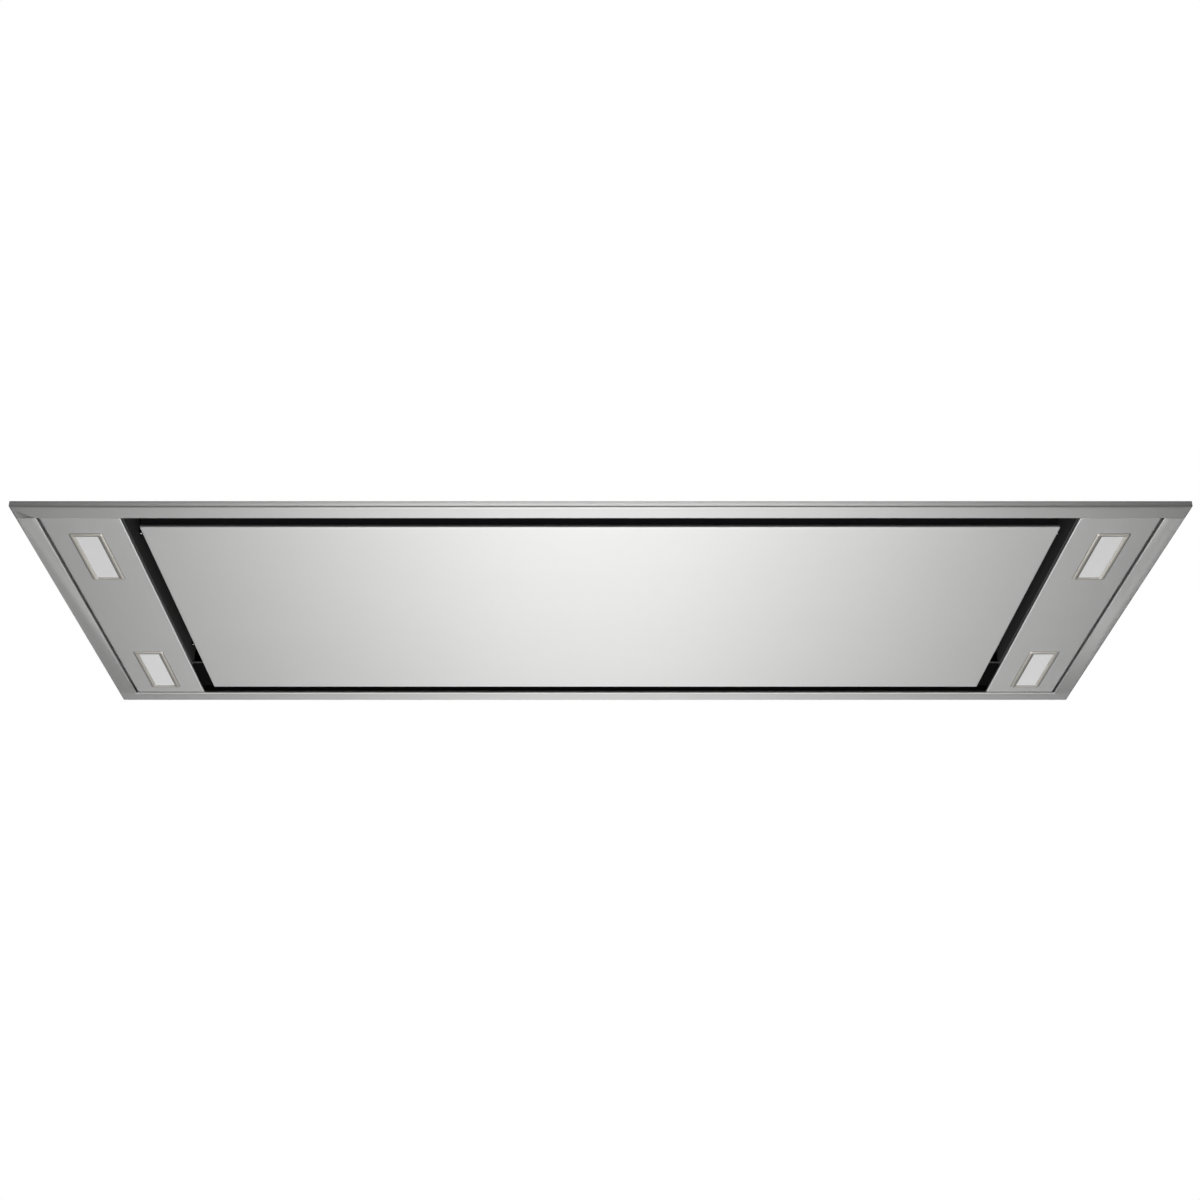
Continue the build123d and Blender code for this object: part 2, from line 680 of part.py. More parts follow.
def outlet_collar():
    inner = DUCT_RADIUS - SHEET
    pipe = Cylinder(DUCT_RADIUS, SHEET + COLLAR_HEIGHT, align=STANDING)
    pipe += Cylinder(COLLAR_FLANGE, SHEET, align=STANDING)
    pipe -= Cylinder(inner, 3 * COLLAR_HEIGHT)
    ledge_z = FLAP_Z - FLAP_SHEET / 2 - 0.3 - COLLAR_BASE - SHEET
    ledge = Cylinder(inner, SHEET, align=STANDING) - Cylinder(inner - LEDGE, 3 * SHEET)
    shape = Pos(0, 0, COLLAR_BASE) * (pipe + Pos(0, 0, ledge_z) * ledge)
    shape -= rod(SPINDLE_RADIUS, (-DUCT_RADIUS - 1, 0, FLAP_Z), (DUCT_RADIUS + 1, 0, FLAP_Z))
    ledge_relief = KNUCKLE_RADIUS + 1
    shape -= block(
        (-inner, inner), (-ledge_relief, ledge_relief), (FLAP_Z - ledge_relief, FLAP_Z)
    )
    return drilled(shape, "collar")


def damper_spindle():
    half = DUCT_RADIUS - 0.3
    return rod(SPINDLE_RADIUS, (-half, 0, FLAP_Z), (half, 0, FLAP_Z))


def damper_flap(end, knuckles):
    disc = Pos(0, 0, FLAP_Z) * Cylinder(FLAP_RADIUS, FLAP_SHEET)
    half_y = on_side(end, FLAP_START, FLAP_RADIUS + 1)
    flap = disc & block((-FLAP_RADIUS, FLAP_RADIUS), half_y, (FLAP_Z - 1, FLAP_Z + 1))
    for x in knuckles:
        tab = block(
            (x, x + KNUCKLE_LENGTH),
            on_side(end, 0, FLAP_START),
            (FLAP_Z - FLAP_SHEET / 2, FLAP_Z + FLAP_SHEET / 2),
        )
        ends = (x, 0, FLAP_Z), (x + KNUCKLE_LENGTH, 0, FLAP_Z)
        flap += tab + rod(KNUCKLE_RADIUS, *ends)
        flap -= rod(SPINDLE_RADIUS + RUNNING_CLEARANCE, *ends)
    return flap


# Blower: a scroll of three quarter arcs that opens upward, a forward-curved impeller with
# an inlet at both sides, and the motor on a three-armed mount at the left inlet.
SCROLL_Y = -64.0
SCROLL_Z = 201.0
SCROLL_RADII = (90.0, 98.0, 106.0)
TONGUE = 14.0
SCROLL_HALF = 52.0
SCROLL_SHEET = 1.2
INLET_RADIUS = 68.0
AXIS_Y = SCROLL_Y + 4.0
AXIS_Z = SCROLL_Z + 4.0
BLADE_INNER = 67.0
BLADE_SHEET = 0.9
HUB_RADIUS = 12.0
HUB_LENGTH = 28.0
RING_SHEET = 2.0
MOTOR_RADIUS = 42.0
MOTOR_FACE = -64.0
MOTOR_LENGTH = 72.0
MOTOR_BOSS = 14.0
MOTOR_BOSS_LENGTH = 8.0
MOUNT_RADIUS = 76.0
MOUNT_RING = 30.0
MOUNT_HOLE = 15.0
MOUNT_SHEET = 2.0
MOUNT_ARM = 16.0
MOUNT_FOOT = 5.0


def scroll_section(wall):
    """The scroll's outline in the YZ plane, grown by the wall."""
    first, second, third = (radius + wall for radius in SCROLL_RADII)
    shift_y = second - first
    shift_z = third - second
    tongue = TONGUE - wall
    start = math.degrees(math.acos(tongue / first))
    tongue_z = SCROLL_Z + math.sqrt(first**2 - tongue**2)
    right_y = SCROLL_Y + shift_y + third
    outline = [
        CenterArc((SCROLL_Y, SCROLL_Z), first, start, 180 - start),
        CenterArc((SCROLL_Y + shift_y, SCROLL_Z), second, 180, 90),
        CenterArc((SCROLL_Y + shift_y, SCROLL_Z + shift_z), third, 270, 90),
        Polyline(
            (right_y, SCROLL_Z + shift_z),
            (right_y, BOX_TOP),
            (SCROLL_Y + tongue, BOX_TOP),
            (SCROLL_Y + tongue, tongue_z),
        ),
    ]
    return Plane.YZ * make_face(Curve() + outline)


def blower_scroll():
    outside = extrude(scroll_section(SCROLL_SHEET), SCROLL_HALF + SCROLL_SHEET, both=True)
    inside = extrude(scroll_section(0), SCROLL_HALF, both=True)
    inlets = rod(INLET_RADIUS, (-100, AXIS_Y, AXIS_Z), (100, AXIS_Y, AXIS_Z))
    return outside - inside - inlets


def impeller():
    """Built round the local z axis, then laid along x."""
    half = IMPELLER_WIDTH / 2
    wheel = Cylinder(IMPELLER_RADIUS, RING_SHEET)
    for end in (-1, 1):
        ring = Cylinder(IMPELLER_RADIUS, RING_SHEET) - Cylinder(BLADE_INNER - 1, RING_SHEET)
        wheel += Pos(0, 0, end * (half - RING_SHEET / 2)) * ring
    middle = (BLADE_INNER + IMPELLER_RADIUS) / 2
    curve = ThreePointArc((BLADE_INNER, 0), (middle, 1.0), (IMPELLER_RADIUS - 1, 5))
    blade = extrude(SlotArc(curve, BLADE_SHEET), half - 0.5, both=True)
    wheel += [Rot(0, 0, 360 / BLADE_COUNT * step) * blade for step in range(BLADE_COUNT)]
    wheel += Cylinder(HUB_RADIUS, HUB_LENGTH)
    wheel -= Cylinder(SHAFT_RADIUS, 2 * HUB_LENGTH)
    return Pos(0, AXIS_Y, AXIS_Z) * Rot(0, 90, 0) * wheel


def motor_shaft():
    tail = MOTOR_FACE - MOTOR_LENGTH - 4
    return rod(SHAFT_RADIUS, (tail, AXIS_Y, AXIS_Z), (HUB_LENGTH / 2 + 2, AXIS_Y, AXIS_Z))


def motor():
    tail = MOTOR_FACE - MOTOR_LENGTH
    body = rod(MOTOR_RADIUS, (tail, AXIS_Y, AXIS_Z), (MOTOR_FACE, AXIS_Y, AXIS_Z))
    body = fillet(body.edges().filter_by(GeomType.CIRCLE), 4)
    body += rod(
        MOTOR_BOSS, (MOTOR_FACE, AXIS_Y, AXIS_Z), (MOTOR_FACE + MOTOR_BOSS_LENGTH, AXIS_Y, AXIS_Z)
    )
    body -= rod(
        SHAFT_RADIUS + RUNNING_CLEARANCE, (tail - 1, AXIS_Y, AXIS_Z), (0, AXIS_Y, AXIS_Z)
    )
    return body


def motor_mount():
    to_scroll = -SCROLL_HALF - SCROLL_SHEET - MOTOR_FACE
    arm_y = (-MOUNT_ARM / 2, MOUNT_ARM / 2)
    mount = Cylinder(MOUNT_RING, MOUNT_SHEET, align=STANDING) - Cylinder(MOUNT_HOLE, 8)
    for step in range(3):
        arm = block((MOUNT_RING - 8, MOUNT_RADIUS), arm_y, (0, MOUNT_SHEET))
        leg = block((MOUNT_RADIUS - MOUNT_FOOT, MOUNT_RADIUS), arm_y, (0, to_scroll))
        mount += Rot(0, 0, 120 * step) * (arm + leg)
    return Pos(MOTOR_FACE, AXIS_Y, AXIS_Z) * Rot(0, 90, 0) * mount


# Hangers: four Z brackets on the top plate, each with a hole for an M8 rod.
HANGER_X = 530.0
HANGER_Y = 180.0
HANGER_SHEET = 2.0
HANGER_TOP = 150.0
HANGER_WIDTH = 40.0
HANGER_ARM = 18.0        # from the rod to the end of the arm
HANGER_LEG = 20.0        # from the rod to the leg
ROD_HOLE = 4.5


def hanger_brackets():
    brackets = []
    base = BODY_TOP + SHEET
    leg_x = HANGER_X - HANGER_LEG
    for side in SIDES.values():
        for end in (-1, 1):
            y = on_side(end, HANGER_Y - HANGER_WIDTH / 2, HANGER_Y + HANGER_WIDTH / 2)
            foot_x = on_side(side, leg_x - HANGER_WIDTH, leg_x)
            arm_x = on_side(side, leg_x - HANGER_SHEET, HANGER_X + HANGER_ARM)
            foot = block(foot_x, y, (base, base + HANGER_SHEET))
            leg = block(on_side(side, leg_x - HANGER_SHEET, leg_x), y, (base, HANGER_TOP))
            arm = block(arm_x, y, (HANGER_TOP - HANGER_SHEET, HANGER_TOP))
            hole = rod(
                ROD_HOLE,
                (side * HANGER_X, end * HANGER_Y, HANGER_TOP - 5),
                (side * HANGER_X, end * HANGER_Y, HANGER_TOP + 1),
            )
            brackets.append(foot + leg + arm - hole)
    return brackets


# Control box: beside the motor box, with its board and the gland for the supply cable.
CONTROL_X = (240.0, 380.0)
CONTROL_Y = (-50.0, 50.0)
CONTROL_TOP = 158.0
BOARD_Z = 121.0
GLAND_Z = 138.0
GLAND_BORE = 4.2
GLAND_NECK = 8.0
GLAND_NUT = 22.0
GLAND_CAP = 10.0
STANDOFF_INSET = 16.0
STANDOFF_RADIUS = 3.0
CARD_HEIGHT = 1.6


def control_box():
    base = BODY_TOP + SHEET
    outside = block(CONTROL_X, CONTROL_Y, (base, CONTROL_TOP))
    inside_x = (CONTROL_X[0] + SHEET, CONTROL_X[1] - SHEET)
    inside_y = (CONTROL_Y[0] + SHEET, CONTROL_Y[1] - SHEET)
    shape = outside - block(inside_x, inside_y, (base + SHEET, CONTROL_TOP))
    for x in (CONTROL_X[0] + STANDOFF_INSET, CONTROL_X[1] - STANDOFF_INSET):
        for y in (CONTROL_Y[0] + STANDOFF_INSET, CONTROL_Y[1] - STANDOFF_INSET):
            shape += rod(STANDOFF_RADIUS, (x, y, base), (x, y, BOARD_Z))
    return shape - rod(GLAND_NECK, (CONTROL_X[1] - 5, 0, GLAND_Z), (CONTROL_X[1] + 5, 0, GLAND_Z))


def control_box_lid():
    lid = block(CONTROL_X, CONTROL_Y, (CONTROL_TOP, CONTROL_TOP + SHEET))
    rim = frame(
        (CONTROL_X[1] - CONTROL_X[0]) / 2 - SHEET - 0.2,
        (CONTROL_Y[1] - CONTROL_Y[0]) / 2 - SHEET - 0.2,
        SHEET,
        (CONTROL_TOP - 6, CONTROL_TOP),
    )
    return lid + Pos(sum(CONTROL_X) / 2, 0, 0) * rim


def control_board():
    x = (CONTROL_X[0] + 8, CONTROL_X[1] - 12)
    top = BOARD_Z + CARD_HEIGHT
    board = block(x, (CONTROL_Y[0] + 8, CONTROL_Y[1] - 8), (BOARD_Z, top))
    board += Pos(x[0] + 22, -14, top) * Cylinder(9, 22, align=STANDING)
    for row in range(3):
        board += block((x[0] + 44, x[0] + 60), (-34 + row * 18, -20 + row * 18), (top, top + 14))
    return board + block((x[0] + 70, x[0] + 84), (-30, 30), (top, top + 9))


def cable_gland():
    wall = CONTROL_X[1]
    neck = rod(GLAND_NECK, (wall - 8, 0, GLAND_Z), (wall + 12, 0, GLAND_Z))
    hexagon = RegularPolygon(GLAND_NUT / 2, 6, major_radius=False)
    outer_nut = extrude(Plane(origin=(wall, 0, GLAND_Z), z_dir=(1, 0, 0)) * hexagon, 6)
    inner_nut = extrude(Plane(origin=(wall - SHEET, 0, GLAND_Z), z_dir=(-1, 0, 0)) * hexagon, 5)
    cap = rod(GLAND_CAP, (wall + 6, 0, GLAND_Z), (wall + 20, 0, GLAND_Z))
    cap = fillet(cap.edges().group_by(Axis.X)[-1], 3)
    bore = rod(GLAND_BORE, (wall - 20, 0, GLAND_Z), (wall + 30, 0, GLAND_Z))
    return neck + outer_nut + inner_nut + cap - bore


save("trim_frame", trim_frame())
for word, side in SIDES.items():
    save(f"light_panel_{word}", light_panel(side))
    save(f"tray_wall_{word}", side_tray_wall(side))
    save(f"side_rail_{word}", side_rail(side))
    save(f"hinge_bracket_{word}", hinge_bracket(side))
    save(f"filter_frame_{word}", filter_frame(side))
    save(f"filter_mesh_{word}", filter_mesh(side))
    save(f"filter_latch_{word}", filter_latch(side))
for word, (x, y) in LAMPS.items():
    save(f"lamp_bezel_{word}", lamp_bezel(x, y))
    save(f"lamp_lens_{word}", lamp_lens(x, y))
    save(f"lamp_housing_{word}", lamp_housing(x, y))
save("led_boards", *[led_board(x, y) for x, y in LAMPS.values()])
save("lamp_clips", *lamp_clips())
save("panel_skin", panel_skin())
save("panel_back", panel_back())
save("panel_stiffeners", *panel_stiffeners())
save("hinge_ears", *hinge_ears())
save("panel_strikes", *panel_strikes())
save("tray_wall_near", end_tray_wall(-1))
save("tray_wall_far", end_tray_wall(1))
save("side_rail_screws", *side_rail_screws())
save("filter_deck", filter_deck())
save("catch_magnets", *catch_magnets())
save("catch_brackets", *catch_brackets())
save("filter_hangers", *filter_hangers())
save("body_shell", body_shell())
save("body_top", body_top())
save("motor_box", motor_box())
save("motor_box_lid", motor_box_lid())
save("case_screws", *case_screws())
save("outlet_collar", outlet_collar())
save("damper_spindle", damper_spindle())
save("damper_flap_front", damper_flap(-1, FRONT_KNUCKLES))
save("damper_flap_rear", damper_flap(1, REAR_KNUCKLES))
save("blower_scroll", blower_scroll())
save("impeller", impeller())
save("motor_shaft", motor_shaft())
save("motor", motor())
save("motor_mount", motor_mount())
save("hanger_brackets", *hanger_brackets())
save("control_box", control_box())
save("control_box_lid", control_box_lid())
save("control_board", control_board())
save("cable_gland", cable_gland())
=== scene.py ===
import math

import bmesh
import bpy
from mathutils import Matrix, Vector

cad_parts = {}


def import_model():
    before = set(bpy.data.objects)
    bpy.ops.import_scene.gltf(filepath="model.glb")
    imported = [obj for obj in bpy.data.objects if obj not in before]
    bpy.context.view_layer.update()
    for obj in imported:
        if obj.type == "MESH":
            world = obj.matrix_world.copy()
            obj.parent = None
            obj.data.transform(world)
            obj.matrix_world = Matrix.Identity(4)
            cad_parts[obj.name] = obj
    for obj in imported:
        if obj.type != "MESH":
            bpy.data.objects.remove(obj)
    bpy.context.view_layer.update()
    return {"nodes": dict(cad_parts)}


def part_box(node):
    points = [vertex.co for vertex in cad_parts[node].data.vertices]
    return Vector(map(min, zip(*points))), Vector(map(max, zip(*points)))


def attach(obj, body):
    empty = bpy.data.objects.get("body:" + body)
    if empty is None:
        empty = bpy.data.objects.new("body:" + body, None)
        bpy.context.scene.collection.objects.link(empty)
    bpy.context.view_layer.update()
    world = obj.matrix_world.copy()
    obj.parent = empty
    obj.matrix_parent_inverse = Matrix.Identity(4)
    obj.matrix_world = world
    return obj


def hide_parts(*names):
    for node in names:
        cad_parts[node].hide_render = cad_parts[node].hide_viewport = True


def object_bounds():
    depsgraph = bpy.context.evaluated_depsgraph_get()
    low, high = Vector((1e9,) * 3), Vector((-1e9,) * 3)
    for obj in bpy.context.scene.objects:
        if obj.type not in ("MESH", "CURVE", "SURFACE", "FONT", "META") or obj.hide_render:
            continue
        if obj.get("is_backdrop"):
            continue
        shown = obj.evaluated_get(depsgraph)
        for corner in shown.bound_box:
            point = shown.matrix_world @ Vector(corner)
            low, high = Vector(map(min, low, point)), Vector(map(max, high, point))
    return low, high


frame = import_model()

MM = 0.001


# Trim frame: one flat C of 1 mm stainless sheet, folded up at the outer edge, turned up at
# the inner one and brushed along the hood's width. The near bar is butted against the side
# bars, so a hairline crosses them where its inner edge ends.
def surface(name, **values):
    """A new material and its tree, with plain values on the sockets of its surface shader."""
    material = bpy.data.materials.new(name)
    material.use_nodes = True
    tree = material.node_tree
    shader = tree.nodes["Principled BSDF"]
    for socket, value in values.items():
        shader.inputs[socket.replace("_", " ")].default_value = value
    return material, tree, shader


def effect(name, inputs, outputs):
    """An empty shader group: inputs are {name: default}, and colours are given as tuples."""
    group = bpy.data.node_groups.new(name, "ShaderNodeTree")
    for label, default in inputs.items():
        kind = "NodeSocketColor" if isinstance(default, tuple) else "NodeSocketFloat"
        socket = group.interface.new_socket(label, in_out="INPUT", socket_type=kind)
        socket.default_value = default
    for label, kind in outputs.items():
        group.interface.new_socket(label, in_out="OUTPUT", socket_type=kind)
    return group, group.nodes.new("NodeGroupInput"), group.nodes.new("NodeGroupOutput")


def node(tree, kind, values=None, **settings):
    """A node of a tree, with its settings and the values of its input sockets."""
    made = tree.nodes.new(kind)
    for key, value in settings.items():
        setattr(made, key, value)
    for key, value in (values or {}).items():
        made.inputs[key].default_value = value
    return made


def use(tree, group, **values):
    """An effect placed in a material with its own values."""
    made = tree.nodes.new("ShaderNodeGroup")
    made.node_tree = group
    for label, value in values.items():
        made.inputs[label.replace("_", " ")].default_value = value
    return made


def brushed_grain_group():
    """Fine parallel scratches along u, as a colour, a roughness and a height."""
    group, given, out = effect(
        "brushed grain",
        {
            "Colour": (0.6, 0.6, 0.59, 1.0),
            "Roughness": 0.3,
            "Colour Spread": 0.05,
            "Roughness Spread": 0.06,
            "Lines Per Metre": 900.0,
        },
        {"Colour": "NodeSocketColor", "Roughness": "NodeSocketFloat", "Height": "NodeSocketFloat"},
    )
    link = group.links.new
    place = node(group, "ShaderNodeUVMap", uv_map="grain")
    stretch = node(group, "ShaderNodeMapping", {"Scale": (0.006, 1.0, 1.0)})
    fine = node(group, "ShaderNodeTexNoise", {"Detail": 3.0, "Roughness": 0.7})
    broad_stretch = node(group, "ShaderNodeMapping", {"Scale": (0.15, 1.0, 1.0)})
    broad = node(group, "ShaderNodeTexNoise", {"Scale": 14.0, "Detail": 2.0})
    link(place.outputs["UV"], stretch.inputs["Vector"])
    link(stretch.outputs["Vector"], fine.inputs["Vector"])
    link(given.outputs["Lines Per Metre"], fine.inputs["Scale"])
    link(place.outputs["UV"], broad_stretch.inputs["Vector"])
    link(broad_stretch.outputs["Vector"], broad.inputs["Vector"])
    both = node(group, "ShaderNodeMath", {1: 0.25}, operation="MULTIPLY_ADD")
    link(broad.outputs["Fac"], both.inputs[0])
    link(fine.outputs["Fac"], both.inputs[2])
    centred = node(group, "ShaderNodeMath", {1: 0.625}, operation="SUBTRACT")
    link(both.outputs[0], centred.inputs[0])
    rough = node(group, "ShaderNodeMath", operation="MULTIPLY_ADD")
    link(centred.outputs[0], rough.inputs[0])
    link(given.outputs["Roughness Spread"], rough.inputs[1])
    link(given.outputs["Roughness"], rough.inputs[2])
    shade = node(group, "ShaderNodeMath", {2: 1.0}, operation="MULTIPLY_ADD")
    link(centred.outputs[0], shade.inputs[0])
    link(given.outputs["Colour Spread"], shade.inputs[1])
    tint = node(group, "ShaderNodeHueSaturation")
    link(given.outputs["Colour"], tint.inputs["Color"])
    link(shade.outputs[0], tint.inputs["Value"])
    link(tint.outputs["Color"], out.inputs["Colour"])
    link(rough.outputs[0], out.inputs["Roughness"])
    link(fine.outputs["Fac"], out.inputs["Height"])
    return group


brushed_grain = brushed_grain_group()


def brushed_steel(name, colour, roughness, bump=0.04):
    """Stainless sheet: its highlights are drawn out across the brushing."""
    material, tree, shader = surface(name, Metallic=1.0, Anisotropic=0.5)
    shader.inputs["Anisotropic Rotation"].default_value = 0.25
    grain = use(tree, brushed_grain, Colour=(*colour, 1.0), Roughness=roughness)
    height = node(tree, "ShaderNodeBump", {"Strength": bump, "Distance": 0.0002})
    along = node(tree, "ShaderNodeTangent", direction_type="UV_MAP", uv_map="grain")
    link = tree.links.new
    link(grain.outputs["Colour"], shader.inputs["Base Color"])
    link(grain.outputs["Roughness"], shader.inputs["Roughness"])
    link(grain.outputs["Height"], height.inputs["Height"])
    link(height.outputs["Normal"], shader.inputs["Normal"])
    link(along.outputs["Tangent"], shader.inputs["Tangent"])
    return material


stainless = brushed_steel("brushed_stainless", (0.66, 0.66, 0.655), 0.42)
# The trim's copy of the stainless is darker than the panels' sheet: that darkness is painted shade.
trim_stainless_shaded = brushed_steel("brushed_stainless_trim_shaded", (0.57, 0.57, 0.565), 0.40)


def lay_grain(mesh, sideways=None):
    """A UV map whose u runs with the brushing: along x, or along y at the sides."""
    layer = mesh.uv_layers.new(name="grain")
    for face in mesh.polygons:
        normal = face.normal
        across = sideways is not None and sideways(face.center)
        for corner in face.loop_indices:
            x, y, z = mesh.vertices[mesh.loops[corner].vertex_index].co
            if abs(normal.x) > 0.8:
                layer.data[corner].uv = (y, z)
            elif across:
                layer.data[corner].uv = (y, x)
            elif abs(normal.y) > 0.7:
                layer.data[corner].uv = (x, z)
            else:
                layer.data[corner].uv = (x, y)


def settled(holder):
    """The plain mesh that an object's modifiers give; the object itself is removed."""
    bpy.context.view_layer.update()
    shown = holder.evaluated_get(bpy.context.evaluated_depsgraph_get())
    mesh = bpy.data.meshes.new_from_object(shown)
    bpy.data.objects.remove(holder)
    return mesh


def held(mesh):
    """A passing object for a mesh that still needs a modifier."""
    holder = bpy.data.objects.new("holder", mesh)
    bpy.context.scene.collection.objects.link(holder)
    return holder


def sheet(mesh, wall, offset):
    """The mesh grown into sheet metal: offset -1 inward, 0 to both sides, 1 outward."""
    holder = held(mesh)
    growth = holder.modifiers.new("wall", "SOLIDIFY")
    growth.thickness = wall
    growth.offset = offset
    growth.use_even_offset = True
    return settled(holder)


def finished(name, mesh, material, body, nodes, smooth=35.0, sideways=None):
    """One finished object: smooth bends, sharp edges, its finish, its body and its nodes."""
    mesh.name = name
    mesh.shade_smooth()
    mesh.set_sharp_from_angle(angle=math.radians(smooth))
    lay_grain(mesh, sideways)
    mesh.materials.clear()
    mesh.materials.append(material)
    made = bpy.data.objects.new(name, mesh)
    bpy.context.scene.collection.objects.link(made)
    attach(made, body)
    if nodes:
        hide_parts(*nodes)
    return made


TOLERANCE = 1e-6


def cleaned(points, faces):
    """A mesh from points and faces, welded, with its normals outward."""
    mesh = bpy.data.meshes.new("cleaned")
    mesh.from_pydata(points, [], faces)
    shape = bmesh.new()
    shape.from_mesh(mesh)
    bmesh.ops.remove_doubles(shape, verts=shape.verts, dist=TOLERANCE)
    bmesh.ops.recalc_face_normals(shape, faces=shape.faces)
    shape.to_mesh(mesh)
    shape.free()
    return mesh


def piece(name, mesh_parts, material, body, nodes, smooth=35.0, wall=0.0, offset=-1.0):
    """One finished piece from (points, faces), with a sheet's wall where one is given."""
    mesh = cleaned(*mesh_parts)
    if wall:
        mesh = sheet(mesh, wall, offset)
    return finished(name, mesh, material, body, nodes, smooth)


def bridge(rings, closed=False):
    """Quads between rings of points that have the same count, and round to the first again."""
    count = len(rings[0])
    points = [point for ring in rings for point in ring]
    faces = []
    for ring in range(len(rings) if closed else len(rings) - 1):
        after = (ring + 1) % len(rings)
        for i in range(count):
            j = (i + 1) % count
            faces.append(
                (ring * count + i, ring * count + j, after * count + j, after * count + i)
            )
    return points, faces


def arc(centre_u, centre_z, radius, start, end, steps=5):
    """Points of a bend in a section, from one angle to another in degrees."""
    angles = [math.radians(start + (end - start) * step / steps) for step in range(steps + 1)]
    return [(centre_u + radius * math.cos(a), centre_z + radius * math.sin(a)) for a in angles]


low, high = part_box("trim_frame")
TRIM_X, TRIM_Y, TRIM_LOW = high.x, high.y, low.z
SIDE_STRIP = 21.7 * MM
END_STRIP = 23.4 * MM
OPENING_X = TRIM_X - SIDE_STRIP
OPENING_Y = TRIM_Y - END_STRIP
SHEET = 1.0 * MM
FOLD = 2.0 * MM
TURN = 1.2 * MM
EDGE_TOP = 3.0 * MM
CEILING_LIP = 9.0 * MM
HAIRLINE = 0.22 * MM
SUPPORT = 0.5 * MM


def trim_section():
    """The bent sheet's outline as (edge, offset, height): edge 0 is the opening, 1 the outside."""
    outer = [(1, u, z) for u, z in arc(-FOLD, TRIM_LOW + FOLD, FOLD, 270, 360, 8)]
    inner = [(0, u, z) for u, z in arc(TURN, TRIM_LOW + TURN, TURN, 180, 270, 6)]
    inside_outer = [
        (1, u, z) for u, z in arc(-FOLD, TRIM_LOW + FOLD, FOLD - SHEET, 360, 270, 6)
    ]
    inside_inner = [
        (0, u, z) for u, z in arc(TURN, TRIM_LOW + TURN, TURN - SHEET, 270, 180, 4)
    ]
    return [
        (0, 0, TRIM_LOW + EDGE_TOP),
        *inner,
        (0, TURN + SUPPORT, TRIM_LOW),
        (1, -FOLD - SUPPORT, TRIM_LOW),
        *outer,
        (1, 0, -SHEET * 0.6),
        (1, -SHEET * 0.3, -SHEET * 0.1),
        (1, -SHEET * 0.8, 0),
        (1, -CEILING_LIP, 0),
        (1, -CEILING_LIP, -SHEET),
        (1, -SHEET * 1.6, -SHEET),
        (1, -SHEET, -SHEET * 1.6),
        *inside_outer,
        *inside_inner,
        (0, SHEET, TRIM_LOW + EDGE_TOP),
    ]


def on_side_strip(spot):
    """Whether a point is on one of the two strips that run along y."""
    return abs(spot.x) > OPENING_X - TURN and abs(spot.y) < OPENING_Y


def trim_frame():
    rings = []
    for edge, offset, z in trim_section():
        x = (TRIM_X if edge else OPENING_X) + offset
        y = (TRIM_Y if edge else OPENING_Y) + offset
        rings.append([(x, y, z), (-x, y, z), (-x, -y, z), (x, -y, z)])
    mesh = cleaned(*bridge(rings, closed=True))
    shape = bmesh.new()
    shape.from_mesh(mesh)
    for y in (-OPENING_Y - HAIRLINE, -OPENING_Y, -OPENING_Y + HAIRLINE, OPENING_Y):
        everything = shape.verts[:] + shape.edges[:] + shape.faces[:]
        bmesh.ops.bisect_plane(
            shape, geom=everything, plane_co=(0, y, 0), plane_no=(0, 1, 0), dist=1e-7
        )
    for vertex in shape.verts:
        on_face = abs(vertex.co.z - TRIM_LOW) < TOLERANCE
        on_seam = abs(vertex.co.y + OPENING_Y) < TOLERANCE
        if on_face and on_seam and abs(vertex.co.x) > OPENING_X + TURN:
            vertex.co.z += HAIRLINE
    shape.to_mesh(mesh)
    shape.free()
    finished(
        "trim_frame_bent",
        mesh,
        trim_stainless_shaded,
        "body",
        ["trim_frame"],
        sideways=on_side_strip,
    )


trim_frame()


# Light panels: shallow stainless trays at the left and right, with a rolled edge beside the
# suction slot and two cut-outs for the lamps. A flange hangs each on the body's wall.
PLATE_RISE = 0.8 * MM
PLATE_LOW = TRIM_LOW + PLATE_RISE
PLATE_BEND = 1.3 * MM
PLATE_GAP = 2.2 * MM
LAMPS = ("left_near", "left_far", "right_near", "right_far")


def grown_grid(xs, ys, section, holes):
    """A flat sheet on a grid with its rim bent by a section of (outward, height) points."""
    columns, rows = len(xs), len(ys)
    points = [(x, y, section[0][1]) for y in ys for x in xs]
    faces = []
    for row in range(rows - 1):
        for column in range(columns - 1):
            middle = ((xs[column] + xs[column + 1]) / 2, (ys[row] + ys[row + 1]) / 2)
            cut = any(x0 < middle[0] < x1 and y0 < middle[1] < y1 for x0, x1, y0, y1 in holes)
            if not cut:
                corner = row * columns + column
                faces.append((corner, corner + 1, corner + columns + 1, corner + columns))
    rim = [(i, 0) for i in range(columns)]
    rim += [(columns - 1, i) for i in range(1, rows)]
    rim += [(i, rows - 1) for i in range(columns - 2, -1, -1)]
    rim += [(0, i) for i in range(rows - 2, 0, -1)]
    rings = []
    for outward, z in section:
        ring = []
        for column, row in rim:
            shift_x = outward * ((column == columns - 1) - (column == 0))
            shift_y = outward * ((row == rows - 1) - (row == 0))
            ring.append((xs[column] + shift_x, ys[row] + shift_y, z))
        rings.append(ring)
    rim_points, rim_faces = bridge(rings)
    faces += [tuple(i + len(points) for i in face) for face in rim_faces]
    return points + rim_points, faces


def extruded(section, y_low, y_high):
    """A bent strip: a section of (x, z) points drawn along y."""
    points = [(x, y, z) for y in (y_low, y_high) for x, z in section]
    count = len(section)
    faces = [(i, i + 1, count + i + 1, count + i) for i in range(count - 1)]
    return points, faces


